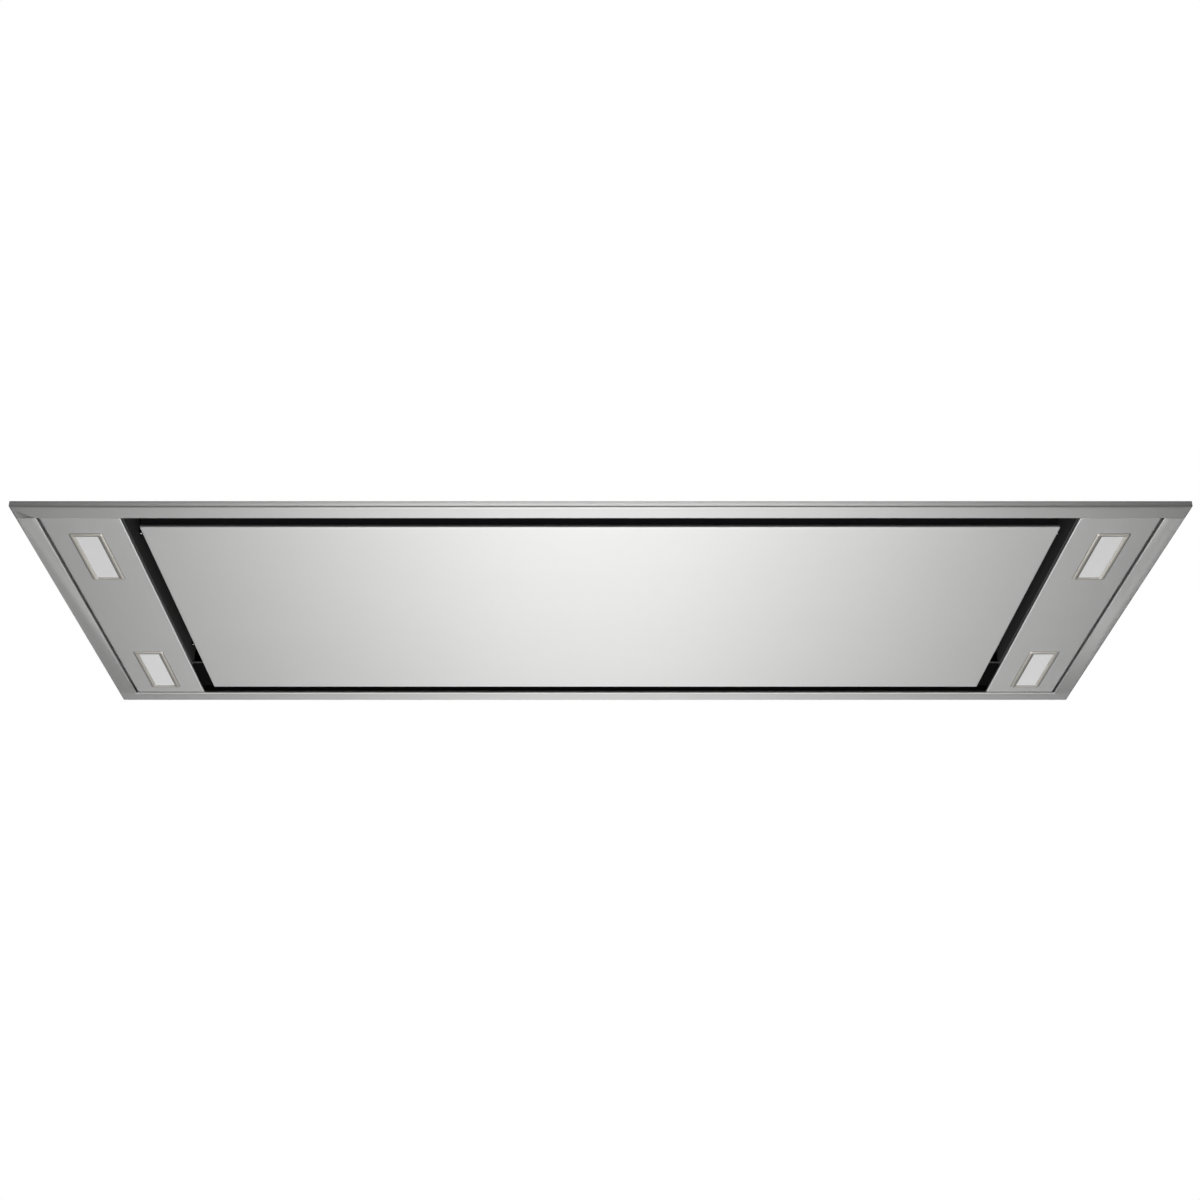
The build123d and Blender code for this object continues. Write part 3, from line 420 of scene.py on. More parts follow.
def light_panel(word):
    low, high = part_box(f"light_panel_{word}")
    side = 1 if high.x > 0 else -1
    outer = OPENING_X - PLATE_GAP
    inner = min(abs(low.x), abs(high.x))
    margin = PLATE_BEND + SUPPORT
    x_low, x_high = sorted((side * inner, side * outer))
    xs = [x_low + margin, x_low + margin + SUPPORT]
    ys = [low.y + margin, low.y + margin + SUPPORT]
    holes = []
    for lamp in LAMPS:
        if lamp.startswith(word):
            neck_low, neck_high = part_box(f"lamp_lens_{lamp}")
            holes.append((neck_low.x, neck_high.x, neck_low.y, neck_high.y))
    holes.sort(key=lambda hole: hole[2])
    xs += [holes[0][0], holes[0][1], x_high - margin - SUPPORT, x_high - margin]
    for hole in holes:
        ys += [hole[2], hole[3]]
    ys += [high.y - margin - SUPPORT, high.y - margin]
    bend = arc(0, PLATE_LOW + PLATE_BEND, PLATE_BEND, 270, 360, 7)
    section = [(0, PLATE_LOW)]
    section += [(SUPPORT + u, z) for u, z in bend]
    section.append((margin, TRIM_LOW + EDGE_TOP))
    piece(
        f"light_panel_{word}_tray",
        grown_grid(xs, ys, section, holes),
        stainless,
        "body",
        [f"light_panel_{word}"],
        wall=SHEET,
    )
    wall = max(abs(low.x), abs(high.x))
    hanging = [
        (side * (outer - SHEET * 0.5), TRIM_LOW + EDGE_TOP - SHEET),
        (side * (outer - SHEET * 0.5), high.z - 1.5 * SHEET),
        (side * (outer + SHEET * 0.5), high.z - 0.5 * SHEET),
        (side * wall, high.z - 0.5 * SHEET),
    ]
    piece(
        f"light_panel_{word}_flange",
        extruded(hanging, low.y + SHEET, high.y - SHEET),
        stainless,
        "body",
        [],
        wall=SHEET,
        offset=0.0,
    )


for word in ("left", "right"):
    light_panel(word)


# Lamps: a satin nickel bezel with a soft outer edge and a small step down to the glass, a
# white frosted lens behind it that glows faintly as painted light, a folded housing above,
# and a board of diodes on the neck.
def rounded(half_x, half_y, radius, z, centre, steps=6):
    """A ring of points round a rectangle with round corners."""
    ring = []
    for turn, (sign_x, sign_y) in enumerate(((1, 1), (-1, 1), (-1, -1), (1, -1))):
        for step in range(steps + 1):
            angle = math.radians(90 * (turn + step / steps))
            x = sign_x * (half_x - radius) + radius * math.cos(angle)
            y = sign_y * (half_y - radius) + radius * math.sin(angle)
            ring.append((centre[0] + x, centre[1] + y, z))
    return ring


def satin_nickel_material():
    material, tree, shader = surface("satin_nickel", Metallic=1.0)
    grain = use(
        tree,
        brushed_grain,
        Colour=(0.55, 0.525, 0.485, 1.0),
        Roughness=0.42,
        Colour_Spread=0.03,
        Lines_Per_Metre=1500.0,
    )
    tree.links.new(grain.outputs["Colour"], shader.inputs["Base Color"])
    tree.links.new(grain.outputs["Roughness"], shader.inputs["Roughness"])
    return material


def frosted_glass_material():
    material, tree, shader = surface("frosted_glass", Roughness=0.42, IOR=1.5)
    # The emission makes the lens glow faintly in its own colour: painted light.
    shader.inputs["Emission Strength"].default_value = 0.28
    place = node(tree, "ShaderNodeTexCoord")
    frost = node(tree, "ShaderNodeTexNoise", {"Scale": 900.0, "Detail": 2.0})
    colour = node(tree, "ShaderNodeValToRGB")
    colour.color_ramp.elements[0].color = (0.60, 0.60, 0.60, 1.0)
    colour.color_ramp.elements[1].color = (0.66, 0.66, 0.66, 1.0)
    tree.links.new(place.outputs["Object"], frost.inputs["Vector"])
    tree.links.new(frost.outputs["Fac"], colour.inputs["Fac"])
    tree.links.new(colour.outputs["Color"], shader.inputs["Base Color"])
    tree.links.new(colour.outputs["Color"], shader.inputs["Emission Color"])
    return material


satin_nickel = satin_nickel_material()
frosted_glass = frosted_glass_material()
BEZEL_FLANK = 1.6 * MM
BEZEL_CORNER = 2.6 * MM
BEZEL_END = 5.6 * MM
BEZEL_SIDE = 6.2 * MM
GLASS_STEP = 0.5 * MM
NECK_INSET = 2.5 * MM
NECK_WALL = 1.3 * MM
WINDOW_CORNER = 1.0 * MM
LENS_EDGE = 0.35 * MM
LENS_LIP = 1.8 * MM


def lamp_bezel(lamp):
    low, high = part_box(f"lamp_bezel_{lamp}")
    centre = ((low.x + high.x) / 2, (low.y + high.y) / 2)
    half = ((high.x - low.x) / 2, (high.y - low.y) / 2)
    window = (half[0] - BEZEL_SIDE, half[1] - BEZEL_END)
    neck = (half[0] - NECK_INSET, half[1] - NECK_INSET)
    bore = (neck[0] - NECK_WALL, neck[1] - NECK_WALL)
    face = low.z
    height = PLATE_LOW - face
    flank = [(0.0, 1.0), (0.05, 0.82), (0.25, 0.6), (0.55, 0.28), (0.85, 0.06), (1.1, 0.0)]
    rings = []
    for inward, rise in flank:
        cut = inward * BEZEL_FLANK
        corner = max(BEZEL_CORNER - 0.6 * cut, WINDOW_CORNER)
        z = face + rise * height
        rings.append(rounded(half[0] - cut, half[1] - cut, corner, z, centre))
    for outward, depth in ((1.0, 0.0), (0.2, 0.5), (0.0, 1.0)):
        lip = outward * GLASS_STEP
        z = face + depth * GLASS_STEP
        rings.append(rounded(window[0] + lip, window[1] + lip, WINDOW_CORNER, z, centre))
    for size, z in (
        (window, PLATE_LOW),
        (bore, PLATE_LOW),
        (bore, high.z),
        (neck, high.z),
        (neck, PLATE_LOW),
    ):
        rings.append(rounded(*size, WINDOW_CORNER, z, centre))
    piece(
        f"lamp_bezel_{lamp}_soft",
        bridge(rings, closed=True),
        satin_nickel,
        "body",
        [f"lamp_bezel_{lamp}"],
        smooth=50,
    )


def lamp_lens(lamp):
    low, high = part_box(f"lamp_lens_{lamp}")
    centre = ((low.x + high.x) / 2, (low.y + high.y) / 2)
    seat = ((high.x - low.x) / 2, (high.y - low.y) / 2)
    window = (seat[0] - LENS_LIP, seat[1] - LENS_LIP)
    rings = [
        rounded(window[0] - 2 * LENS_EDGE, window[1] - 2 * LENS_EDGE, 0.6 * MM, low.z, centre),
        rounded(window[0] - LENS_EDGE, window[1] - LENS_EDGE, 0.8 * MM, low.z, centre),
        rounded(*window, WINDOW_CORNER, low.z + LENS_EDGE, centre),
        rounded(*window, WINDOW_CORNER, PLATE_LOW, centre),
        rounded(*seat, WINDOW_CORNER, PLATE_LOW, centre),
        rounded(*seat, WINDOW_CORNER, high.z, centre),
    ]
    points, faces = bridge(rings)
    count = len(rings[0])
    faces.append(tuple(range(count)))
    faces.append(tuple(range(len(points) - count, len(points))))
    piece(
        f"lamp_lens_{lamp}_frosted",
        (points, faces),
        frosted_glass,
        "body",
        [f"lamp_lens_{lamp}"],
    )


def softened(node_name, material, body, width, smooth=20.0):
    """A copy of a CAD node with its edges eased, in place of the node."""
    mesh = frame["nodes"][node_name].data.copy()
    # The CAD's own normals fit its triangles, and would streak the flats made from them.
    if "custom_normal" in mesh.attributes:
        mesh.attributes.remove(mesh.attributes["custom_normal"])
    shape = bmesh.new()
    shape.from_mesh(mesh)
    bmesh.ops.remove_doubles(shape, verts=shape.verts, dist=TOLERANCE)
    bmesh.ops.dissolve_limit(
        shape, angle_limit=math.radians(1), verts=shape.verts, edges=shape.edges
    )
    shape.to_mesh(mesh)
    shape.free()
    holder = held(mesh)
    ease = holder.modifiers.new("ease", "BEVEL")
    ease.width = width
    ease.segments = 2
    ease.limit_method = "ANGLE"
    ease.angle_limit = math.radians(40)
    eased = settled(holder)
    return finished(f"{node_name}_eased", eased, material, body, [node_name], smooth)


def skin_group():
    """The fine orange peel of paint and mouldings, as a height and a roughness."""
    group, given, out = effect(
        "fine skin",
        {"Roughness": 0.4, "Roughness Spread": 0.1, "Grains Per Metre": 900.0},
        {"Roughness": "NodeSocketFloat", "Height": "NodeSocketFloat"},
    )
    link = group.links.new
    place = node(group, "ShaderNodeTexCoord")
    peel = node(group, "ShaderNodeTexNoise", {"Detail": 2.0})
    link(place.outputs["Object"], peel.inputs["Vector"])
    link(given.outputs["Grains Per Metre"], peel.inputs["Scale"])
    centred = node(group, "ShaderNodeMath", {1: 0.5}, operation="SUBTRACT")
    link(peel.outputs["Fac"], centred.inputs[0])
    rough = node(group, "ShaderNodeMath", operation="MULTIPLY_ADD")
    link(centred.outputs[0], rough.inputs[0])
    link(given.outputs["Roughness Spread"], rough.inputs[1])
    link(given.outputs["Roughness"], rough.inputs[2])
    link(rough.outputs[0], out.inputs["Roughness"])
    link(peel.outputs["Fac"], out.inputs["Height"])
    return group


fine_skin = skin_group()


def coated(name, colour, roughness, bump=0.15, **values):
    """A painted or moulded surface: one colour under the fine skin."""
    material, tree, shader = surface(name, **values)
    skin = use(tree, fine_skin, Roughness=roughness)
    height = node(tree, "ShaderNodeBump", {"Strength": bump, "Distance": 0.0003})
    shader.inputs["Base Color"].default_value = (*colour, 1.0)
    tree.links.new(skin.outputs["Roughness"], shader.inputs["Roughness"])
    tree.links.new(skin.outputs["Height"], height.inputs["Height"])
    tree.links.new(height.outputs["Normal"], shader.inputs["Normal"])
    return material


def growth_start(name, sizes, counts):
    """An empty geometry tree: its lengths and counts are {name: default}."""
    tree = bpy.data.node_groups.new(name, "GeometryNodeTree")
    socket = tree.interface.new_socket
    socket("Geometry", in_out="INPUT", socket_type="NodeSocketGeometry")
    for kind, defaults in (("NodeSocketFloat", sizes), ("NodeSocketInt", counts)):
        for label, default in defaults.items():
            socket(label, in_out="INPUT", socket_type=kind).default_value = default
    socket("Finish", in_out="INPUT", socket_type="NodeSocketMaterial")
    socket("Geometry", in_out="OUTPUT", socket_type="NodeSocketGeometry")
    return tree, tree.nodes.new("NodeGroupInput"), tree.nodes.new("NodeGroupOutput")


def growth_end(tree, given, out, instances):
    """The last nodes of a geometry tree: its instances are made real and get the finish."""
    link = tree.links.new
    real = node(tree, "GeometryNodeRealizeInstances")
    finish = node(tree, "GeometryNodeSetMaterial")
    link(instances, real.inputs[0])
    link(real.outputs[0], finish.inputs["Geometry"])
    link(given.outputs["Finish"], finish.inputs["Material"])
    link(finish.outputs[0], out.inputs["Geometry"])


def stud_tree():
    """A washer, head and shank on every point, turned along the point's direction."""
    sizes = {
        "Washer Radius": 3.6 * MM,
        "Washer Height": 0.7 * MM,
        "Head Radius": 2.9 * MM,
        "Head Top Radius": 2.7 * MM,
        "Head Height": HEX_HEAD,
        "Shank Radius": 2.0 * MM,
        "Shank Length": 7.0 * MM,
    }
    tree, given, out = growth_start("studs", sizes, {"Flats": 6})
    link = tree.links.new
    washer = node(tree, "GeometryNodeMeshCone", {"Vertices": 32})
    link(given.outputs["Washer Radius"], washer.inputs["Radius Bottom"])
    link(given.outputs["Washer Radius"], washer.inputs["Radius Top"])
    link(given.outputs["Washer Height"], washer.inputs["Depth"])
    head = node(tree, "GeometryNodeMeshCone")
    link(given.outputs["Flats"], head.inputs["Vertices"])
    link(given.outputs["Head Radius"], head.inputs["Radius Bottom"])
    link(given.outputs["Head Top Radius"], head.inputs["Radius Top"])
    link(given.outputs["Head Height"], head.inputs["Depth"])
    shank = node(tree, "GeometryNodeMeshCylinder", {"Vertices": 20})
    link(given.outputs["Shank Radius"], shank.inputs["Radius"])
    link(given.outputs["Shank Length"], shank.inputs["Depth"])
    down = node(tree, "ShaderNodeMath", {1: -0.5}, operation="MULTIPLY")
    link(given.outputs["Shank Length"], down.inputs[0])
    drop = node(tree, "ShaderNodeCombineXYZ")
    link(down.outputs[0], drop.inputs["Z"])
    lowered = node(tree, "GeometryNodeTransform")
    link(shank.outputs["Mesh"], lowered.inputs["Geometry"])
    link(drop.outputs[0], lowered.inputs["Translation"])
    joined = node(tree, "GeometryNodeJoinGeometry")
    for part in (washer.outputs["Mesh"], head.outputs["Mesh"], lowered.outputs["Geometry"]):
        link(part, joined.inputs[0])
    way = node(tree, "GeometryNodeInputNamedAttribute", {"Name": "way"}, data_type="FLOAT_VECTOR")
    turn = node(tree, "FunctionNodeAlignRotationToVector", axis="Z")
    link(way.outputs[0], turn.inputs["Vector"])
    spread = node(tree, "GeometryNodeInstanceOnPoints")
    link(given.outputs["Geometry"], spread.inputs["Points"])
    link(joined.outputs[0], spread.inputs["Instance"])
    link(turn.outputs[0], spread.inputs["Rotation"])
    growth_end(tree, given, out, spread.outputs[0])
    return tree


HEX_HEAD = 2.4 * MM
studs = stud_tree()


def grown(name, tree, points, ways, values, material, body, nodes, smooth=35.0):
    """The plain mesh that a geometry tree grows on points, as one finished piece."""
    base = bpy.data.meshes.new(name)
    base.from_pydata(points, [], [])
    if ways:
        layer = base.attributes.new("way", "FLOAT_VECTOR", "POINT")
        for index, way in enumerate(ways):
            layer.data[index].vector = way
    holder = held(base)
    growth = holder.modifiers.new("growth", "NODES")
    growth.node_group = tree
    for item in tree.interface.items_tree:
        if item.in_out == "INPUT" and item.name in values:
            growth[item.identifier] = values[item.name]
        if item.in_out == "INPUT" and item.name == "Finish":
            growth[item.identifier] = material
    return finished(name, settled(holder), material, body, nodes, smooth)


white_coat = coated("white_coat", (0.72, 0.72, 0.71), 0.4)
white_mask = coated("white_solder_mask", (0.70, 0.70, 0.68), 0.35, bump=0.05)
diode_cap = coated("diode_cap", (0.80, 0.62, 0.22), 0.25, bump=0.02)
spring_steel = coated("spring_steel", (0.42, 0.42, 0.44), 0.28, bump=0.05, Metallic=1.0)
DIODE_PITCH = 11.0 * MM
DIODE_OFFSET = 5.0 * MM
DIODE_ROWS = 8


def lamp_diodes():
    """Round yellow caps on the square packages of every board."""
    places = []
    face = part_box("led_boards")[0].z
    for lamp in LAMPS:
        low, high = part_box(f"lamp_lens_{lamp}")
        x, y = (low.x + high.x) / 2, (low.y + high.y) / 2
        for row in range(DIODE_ROWS):
            along = (row - (DIODE_ROWS - 1) / 2) * DIODE_PITCH
            for across in (-DIODE_OFFSET, DIODE_OFFSET):
                places.append((x + across, y + along, face))
    grown(
        "lamp_diodes",
        studs,
        places,
        [(0, 0, -1)] * len(places),
        {
            "Washer Radius": 1.2 * MM,
            "Washer Height": 0.12 * MM,
            "Head Radius": 1.1 * MM,
            "Head Top Radius": 0.8 * MM,
            "Head Height": 0.3 * MM,
            "Shank Radius": 1.0 * MM,
            "Shank Length": 0.5 * MM,
            "Flats": 24,
        },
        diode_cap,
        "body",
        [],
    )


for lamp in LAMPS:
    lamp_bezel(lamp)
    lamp_lens(lamp)
    softened(f"lamp_housing_{lamp}", white_coat, "body", 0.5 * MM)
softened("led_boards", white_mask, "body", 0.15 * MM)
softened("lamp_clips", spring_steel, "body", 0.2 * MM)
lamp_diodes()


# Suction panel: a brushed stainless tray with a 2 mm bend, tighter at the two sides, and small
# round corners, flush with the trim. Behind it are the black pan, the aluminium ribs, and the
# plated ears and strikes.
PANEL_BEND = 2.0 * MM
PANEL_CORNER = 0.4 * MM
SIDE_BEND_SHARE = 0.5


def panel_skin():
    low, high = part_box("panel_skin")
    section = [(-SUPPORT - PANEL_BEND, low.z)]
    bend = arc(0, low.z + PANEL_BEND, PANEL_BEND, 270, 360, 10)
    section += [(-PANEL_BEND + u, z) for u, z in bend]
    section.append((0, high.z))
    rings = []
    for offset, z in section:
        corner = max(PANEL_BEND + offset, PANEL_CORNER)
        half_x = high.x + SIDE_BEND_SHARE * offset
        rings.append(rounded(half_x, high.y + offset, corner, z, (0, 0)))
    points, faces = bridge(rings)
    faces.append(tuple(range(len(rings[0]))))
    piece(
        "panel_skin_bent",
        (points, faces),
        stainless,
        "suction_panel",
        ["panel_skin"],
        wall=SHEET,
    )


panel_skin()


def galvanised_group():
    """Zinc spangle: flat crystals of slightly different grey, as a colour and a roughness."""
    group, given, out = effect(
        "zinc spangle",
        {
            "Colour": (0.60, 0.62, 0.63, 1.0),
            "Roughness": 0.42,
            "Colour Spread": 0.11,
            "Roughness Spread": 0.16,
            "Crystals Per Metre": 110.0,
        },
        {"Colour": "NodeSocketColor", "Roughness": "NodeSocketFloat"},
    )
    link = group.links.new
    place = node(group, "ShaderNodeTexCoord")
    bend = node(group, "ShaderNodeTexNoise", {"Scale": 60.0, "Detail": 2.0})
    shift = node(group, "ShaderNodeVectorMath", {"Scale": 0.004}, operation="SCALE")
    moved = node(group, "ShaderNodeVectorMath", operation="ADD")
    crystals = node(group, "ShaderNodeTexVoronoi")
    link(place.outputs["Object"], bend.inputs["Vector"])
    link(bend.outputs["Color"], shift.inputs[0])
    link(place.outputs["Object"], moved.inputs[0])
    link(shift.outputs[0], moved.inputs[1])
    link(moved.outputs[0], crystals.inputs["Vector"])
    link(given.outputs["Crystals Per Metre"], crystals.inputs["Scale"])
    single = node(group, "ShaderNodeSeparateColor")
    link(crystals.outputs["Color"], single.inputs[0])
    centred = node(group, "ShaderNodeMath", {1: 0.5}, operation="SUBTRACT")
    link(single.outputs[0], centred.inputs[0])
    shade = node(group, "ShaderNodeMath", {2: 1.0}, operation="MULTIPLY_ADD")
    link(centred.outputs[0], shade.inputs[0])
    link(given.outputs["Colour Spread"], shade.inputs[1])
    tint = node(group, "ShaderNodeHueSaturation")
    link(given.outputs["Colour"], tint.inputs["Color"])
    link(shade.outputs[0], tint.inputs["Value"])
    rough = node(group, "ShaderNodeMath", operation="MULTIPLY_ADD")
    link(centred.outputs[0], rough.inputs[0])
    link(given.outputs["Roughness Spread"], rough.inputs[1])
    link(given.outputs["Roughness"], rough.inputs[2])
    link(tint.outputs["Color"], out.inputs["Colour"])
    link(rough.outputs[0], out.inputs["Roughness"])
    return group


zinc_spangle = galvanised_group()


def zinc(name, colour, **spangle):
    """A zinc coated metal with its own size of crystals."""
    material, tree, shader = surface(name, Metallic=0.85)
    crystals = use(tree, zinc_spangle, Colour=(*colour, 1.0), **spangle)
    tree.links.new(crystals.outputs["Colour"], shader.inputs["Base Color"])
    tree.links.new(crystals.outputs["Roughness"], shader.inputs["Roughness"])
    return material


black_coat = coated("black_powder_coat", (0.013, 0.013, 0.013), 0.55, Specular_IOR_Level=0.12)
pan_coat = coated("pan_coat", (0.05, 0.05, 0.05), 0.5, Specular_IOR_Level=0.3)
plated = zinc("zinc_plated", (0.58, 0.59, 0.60), Crystals_Per_Metre=900.0, Colour_Spread=0.05)
mill_aluminium = zinc(
    "mill_aluminium",
    (0.66, 0.66, 0.66),
    Crystals_Per_Metre=1500.0,
    Colour_Spread=0.06,
    Roughness=0.34,
    Roughness_Spread=0.05,
)
softened("panel_back", pan_coat, "suction_panel", 0.3 * MM)
softened("panel_stiffeners", mill_aluminium, "suction_panel", 0.3 * MM)
softened("hinge_ears", plated, "suction_panel", 0.4 * MM)
softened("panel_strikes", plated, "suction_panel", 0.3 * MM)


# Everything behind the slot is folded steel under black powder coat: the four walls, the deck
# that carries the filters, the hinge brackets, with painted shade on their shelves and a painted
# highlight along their near edges, and the rails, whose coat is painted lighter as painted light,
# with a bright pan-head screw at each notch. The magnets hang over the panel's near edge.
# The rails' coat is dark grey, lighter than the black coat on the walls round it: painted light in the
# slot.
rail_coat_painted_light = coated("rail_coat_painted_light", (0.085, 0.085, 0.085), 0.5, Specular_IOR_Level=0.3)
magnet_skin = coated("sintered_magnet", (0.05, 0.05, 0.055), 0.35, bump=0.3)
bright_steel = coated("bright_steel", (0.62, 0.62, 0.63), 0.2, bump=0.03, Metallic=1.0)
# Below SHELF_TOP the brackets are painted near black as painted shade; a thin band at their near end
# is painted light as a painted highlight.
SHELF_TOP = 2.2 * MM
PAINTED_HIGHLIGHT_EDGE = 0.3 * MM
RAIL_NOTCHES = (-147.0 * MM, 136.5 * MM)


def bracket_coat_material():
    """Dark grey coat above a shelf painted near black as painted shade, and a painted highlight along
    the near edge, told apart by place.
    """
    low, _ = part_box("hinge_bracket_left")
    material, tree, shader = surface("bracket_coat_painted_light", Roughness=0.6, Specular_IOR_Level=0.0)
    place = node(tree, "ShaderNodeTexCoord")
    parts = node(tree, "ShaderNodeSeparateXYZ")
    above = node(tree, "ShaderNodeMath", {1: low.z + SHELF_TOP}, operation="GREATER_THAN")
    # The thin band at the near end is a painted highlight.
    edge = node(tree, "ShaderNodeMath", {1: low.y + PAINTED_HIGHLIGHT_EDGE}, operation="LESS_THAN")
    level = node(tree, "ShaderNodeMath", operation="MAXIMUM")
    half = node(tree, "ShaderNodeMath", {1: 0.5}, operation="MULTIPLY")
    # Black is painted shade on the shelf and 0.32 a painted highlight on the near edge; only the dark
    # grey is the coat.
    ramp = node(tree, "ShaderNodeValToRGB")
    ramp.color_ramp.elements[0].color = (0.006, 0.006, 0.006, 1.0)
    ramp.color_ramp.elements[1].color = (0.32, 0.32, 0.32, 1.0)
    coat = ramp.color_ramp.elements.new(0.5)
    coat.color = (0.06, 0.06, 0.06, 1.0)
    link = tree.links.new
    link(place.outputs["Object"], parts.inputs["Vector"])
    link(parts.outputs["Z"], above.inputs[0])
    link(above.outputs[0], half.inputs[0])
    link(parts.outputs["Y"], edge.inputs[0])
    link(half.outputs[0], level.inputs[0])
    link(edge.outputs[0], level.inputs[1])
    link(level.outputs[0], ramp.inputs["Fac"])
    link(ramp.outputs["Color"], shader.inputs["Base Color"])
    return material


def rail_screws():
    """Pan-head screws through the side walls, with their heads in the slot."""
    low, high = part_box("side_rail_screws")
    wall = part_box("tray_wall_right")[0].x
    places, ways = [], []
    for side in (-1, 1):
        for y in RAIL_NOTCHES:
            places.append((side * wall, y, (low.z + high.z) / 2))
            ways.append((-side, 0, 0))
    grown(
        "side_rail_pan_screws",
        studs,
        places,
        ways,
        {
            "Washer Radius": 1.8 * MM,
            "Washer Height": 0.9 * MM,
            "Head Radius": 1.7 * MM,
            "Head Top Radius": 0.9 * MM,
            "Head Height": 2.0 * MM,
            "Shank Radius": 1.2 * MM,
            "Shank Length": 3.5 * MM,
            "Flats": 32,
        },
        bright_steel,
        "body",
        ["side_rail_screws"],
        smooth=50,
    )


bracket_coat_painted_light = bracket_coat_material()
for word in ("near", "far", "left", "right"):
    softened(f"tray_wall_{word}", black_coat, "body", 0.3 * MM)
for word in ("left", "right"):
    softened(f"side_rail_{word}", rail_coat_painted_light, "body", 0.25 * MM)
    softened(f"hinge_bracket_{word}", bracket_coat_painted_light, "body", 0.3 * MM)
softened("filter_deck", black_coat, "body", 0.3 * MM)
softened("filter_hangers", black_coat, "body", 0.4 * MM)
softened("catch_brackets", black_coat, "body", 0.4 * MM)
softened("catch_magnets", magnet_skin, "body", 0.5 * MM)
rail_screws()


# Grease filters: rolled aluminium frames round four staggered layers of expanded metal, each
# with a black sliding latch in the pad at its near edge.
def expanded_tree():
    """Crossed strands on a staggered grid, cut out over the latch pad."""
    sizes = {
        "Width": 400.0 * MM,
        "Depth": 300.0 * MM,
        "Cell Width": 12.0 * MM,
        "Cell Depth": 7.0 * MM,
        "Strand": 1.6 * MM,
        "Sheet": 0.5 * MM,
        "Pad Width": 60.0 * MM,
        "Pad Depth": 18.0 * MM,
    }
    tree, given, out = growth_start("expanded metal", sizes, {})
    link = tree.links.new

    def maths(operation, first, second):
        made = node(tree, "ShaderNodeMath", operation=operation)
        for index, value in enumerate((first, second)):
            if isinstance(value, float):
                made.inputs[index].default_value = value
            else:
                link(value, made.inputs[index])
        return made.outputs[0]

    columns = maths("FLOOR", maths("DIVIDE", given.outputs["Width"], given.outputs["Cell Width"]), 0.0)
    rows = maths("FLOOR", maths("DIVIDE", given.outputs["Depth"], given.outputs["Cell Depth"]), 0.0)
    pitch_x = maths("DIVIDE", given.outputs["Width"], columns)
    pitch_y = maths("DIVIDE", given.outputs["Depth"], rows)
    grid = node(tree, "GeometryNodeMeshGrid")
    link(maths("SUBTRACT", given.outputs["Width"], pitch_x), grid.inputs["Size X"])
    link(maths("SUBTRACT", given.outputs["Depth"], pitch_y), grid.inputs["Size Y"])
    link(columns, grid.inputs["Vertices X"])
    link(rows, grid.inputs["Vertices Y"])
    length = maths(
        "SQRT",
        maths("ADD", maths("MULTIPLY", pitch_x, pitch_x), maths("MULTIPLY", pitch_y, pitch_y)),
        0.0,
    )
    size = node(tree, "ShaderNodeCombineXYZ")
    link(length, size.inputs["X"])
    link(given.outputs["Strand"], size.inputs["Y"])
    link(given.outputs["Sheet"], size.inputs["Z"])
    strand = node(tree, "GeometryNodeMeshCube")
    link(size.outputs[0], strand.inputs["Size"])
    angle = maths("ARCTAN2", pitch_y, pitch_x)
    cell = node(tree, "GeometryNodeJoinGeometry")
    for sign in (-1.0, 1.0):
        turned = node(tree, "GeometryNodeTransform")
        turn = node(tree, "ShaderNodeCombineXYZ")
        lift = node(tree, "ShaderNodeCombineXYZ")
        link(maths("MULTIPLY", angle, sign), turn.inputs["Z"])
        link(maths("MULTIPLY", given.outputs["Sheet"], 0.45 * sign), lift.inputs["Z"])
        link(turn.outputs[0], turned.inputs["Rotation"])
        link(lift.outputs[0], turned.inputs["Translation"])
        link(strand.outputs["Mesh"], turned.inputs["Geometry"])
        link(turned.outputs[0], cell.inputs[0])
    place = node(tree, "GeometryNodeInputPosition")
    parts = node(tree, "ShaderNodeSeparateXYZ")
    link(place.outputs[0], parts.inputs[0])
    across = maths("ABSOLUTE", parts.outputs["X"], 0.0)
    pad_and_cell = maths("ADD", given.outputs["Pad Width"], pitch_x)
    half_pad = maths("MULTIPLY", pad_and_cell, 0.5)
    pad_edge = maths(
        "ADD",
        maths("SUBTRACT", given.outputs["Pad Depth"], maths("MULTIPLY", given.outputs["Depth"], 0.5)),
        maths("MULTIPLY", pitch_y, 0.5),
    )
    in_pad = maths(
        "MULTIPLY",
        maths("LESS_THAN", across, half_pad),
        maths("LESS_THAN", parts.outputs["Y"], pad_edge),
    )
    kept = node(tree, "GeometryNodeDeleteGeometry", domain="POINT")
    link(grid.outputs["Mesh"], kept.inputs["Geometry"])
    link(in_pad, kept.inputs["Selection"])
    spread = node(tree, "GeometryNodeInstanceOnPoints")
    link(kept.outputs[0], spread.inputs["Points"])
    link(cell.outputs[0], spread.inputs["Instance"])
    real = node(tree, "GeometryNodeRealizeInstances")
    placed = node(tree, "GeometryNodeInstanceOnPoints")
    link(spread.outputs[0], real.inputs[0])
    link(real.outputs[0], placed.inputs["Instance"])
    link(given.outputs["Geometry"], placed.inputs["Points"])
    growth_end(tree, given, out, placed.outputs[0])
    return tree


expanded = expanded_tree()
latch_plastic = coated("latch_plastic", (0.025, 0.025, 0.025), 0.42)
FILTER_PAD_WIDTH = 60.0 * MM
FILTER_PAD_DEPTH = 18.0 * MM
MESH_SHIFTS = ((0.0, 0.0), (2.4 * MM, 1.3 * MM), (-1.8 * MM, 2.1 * MM), (1.1 * MM, -1.6 * MM))

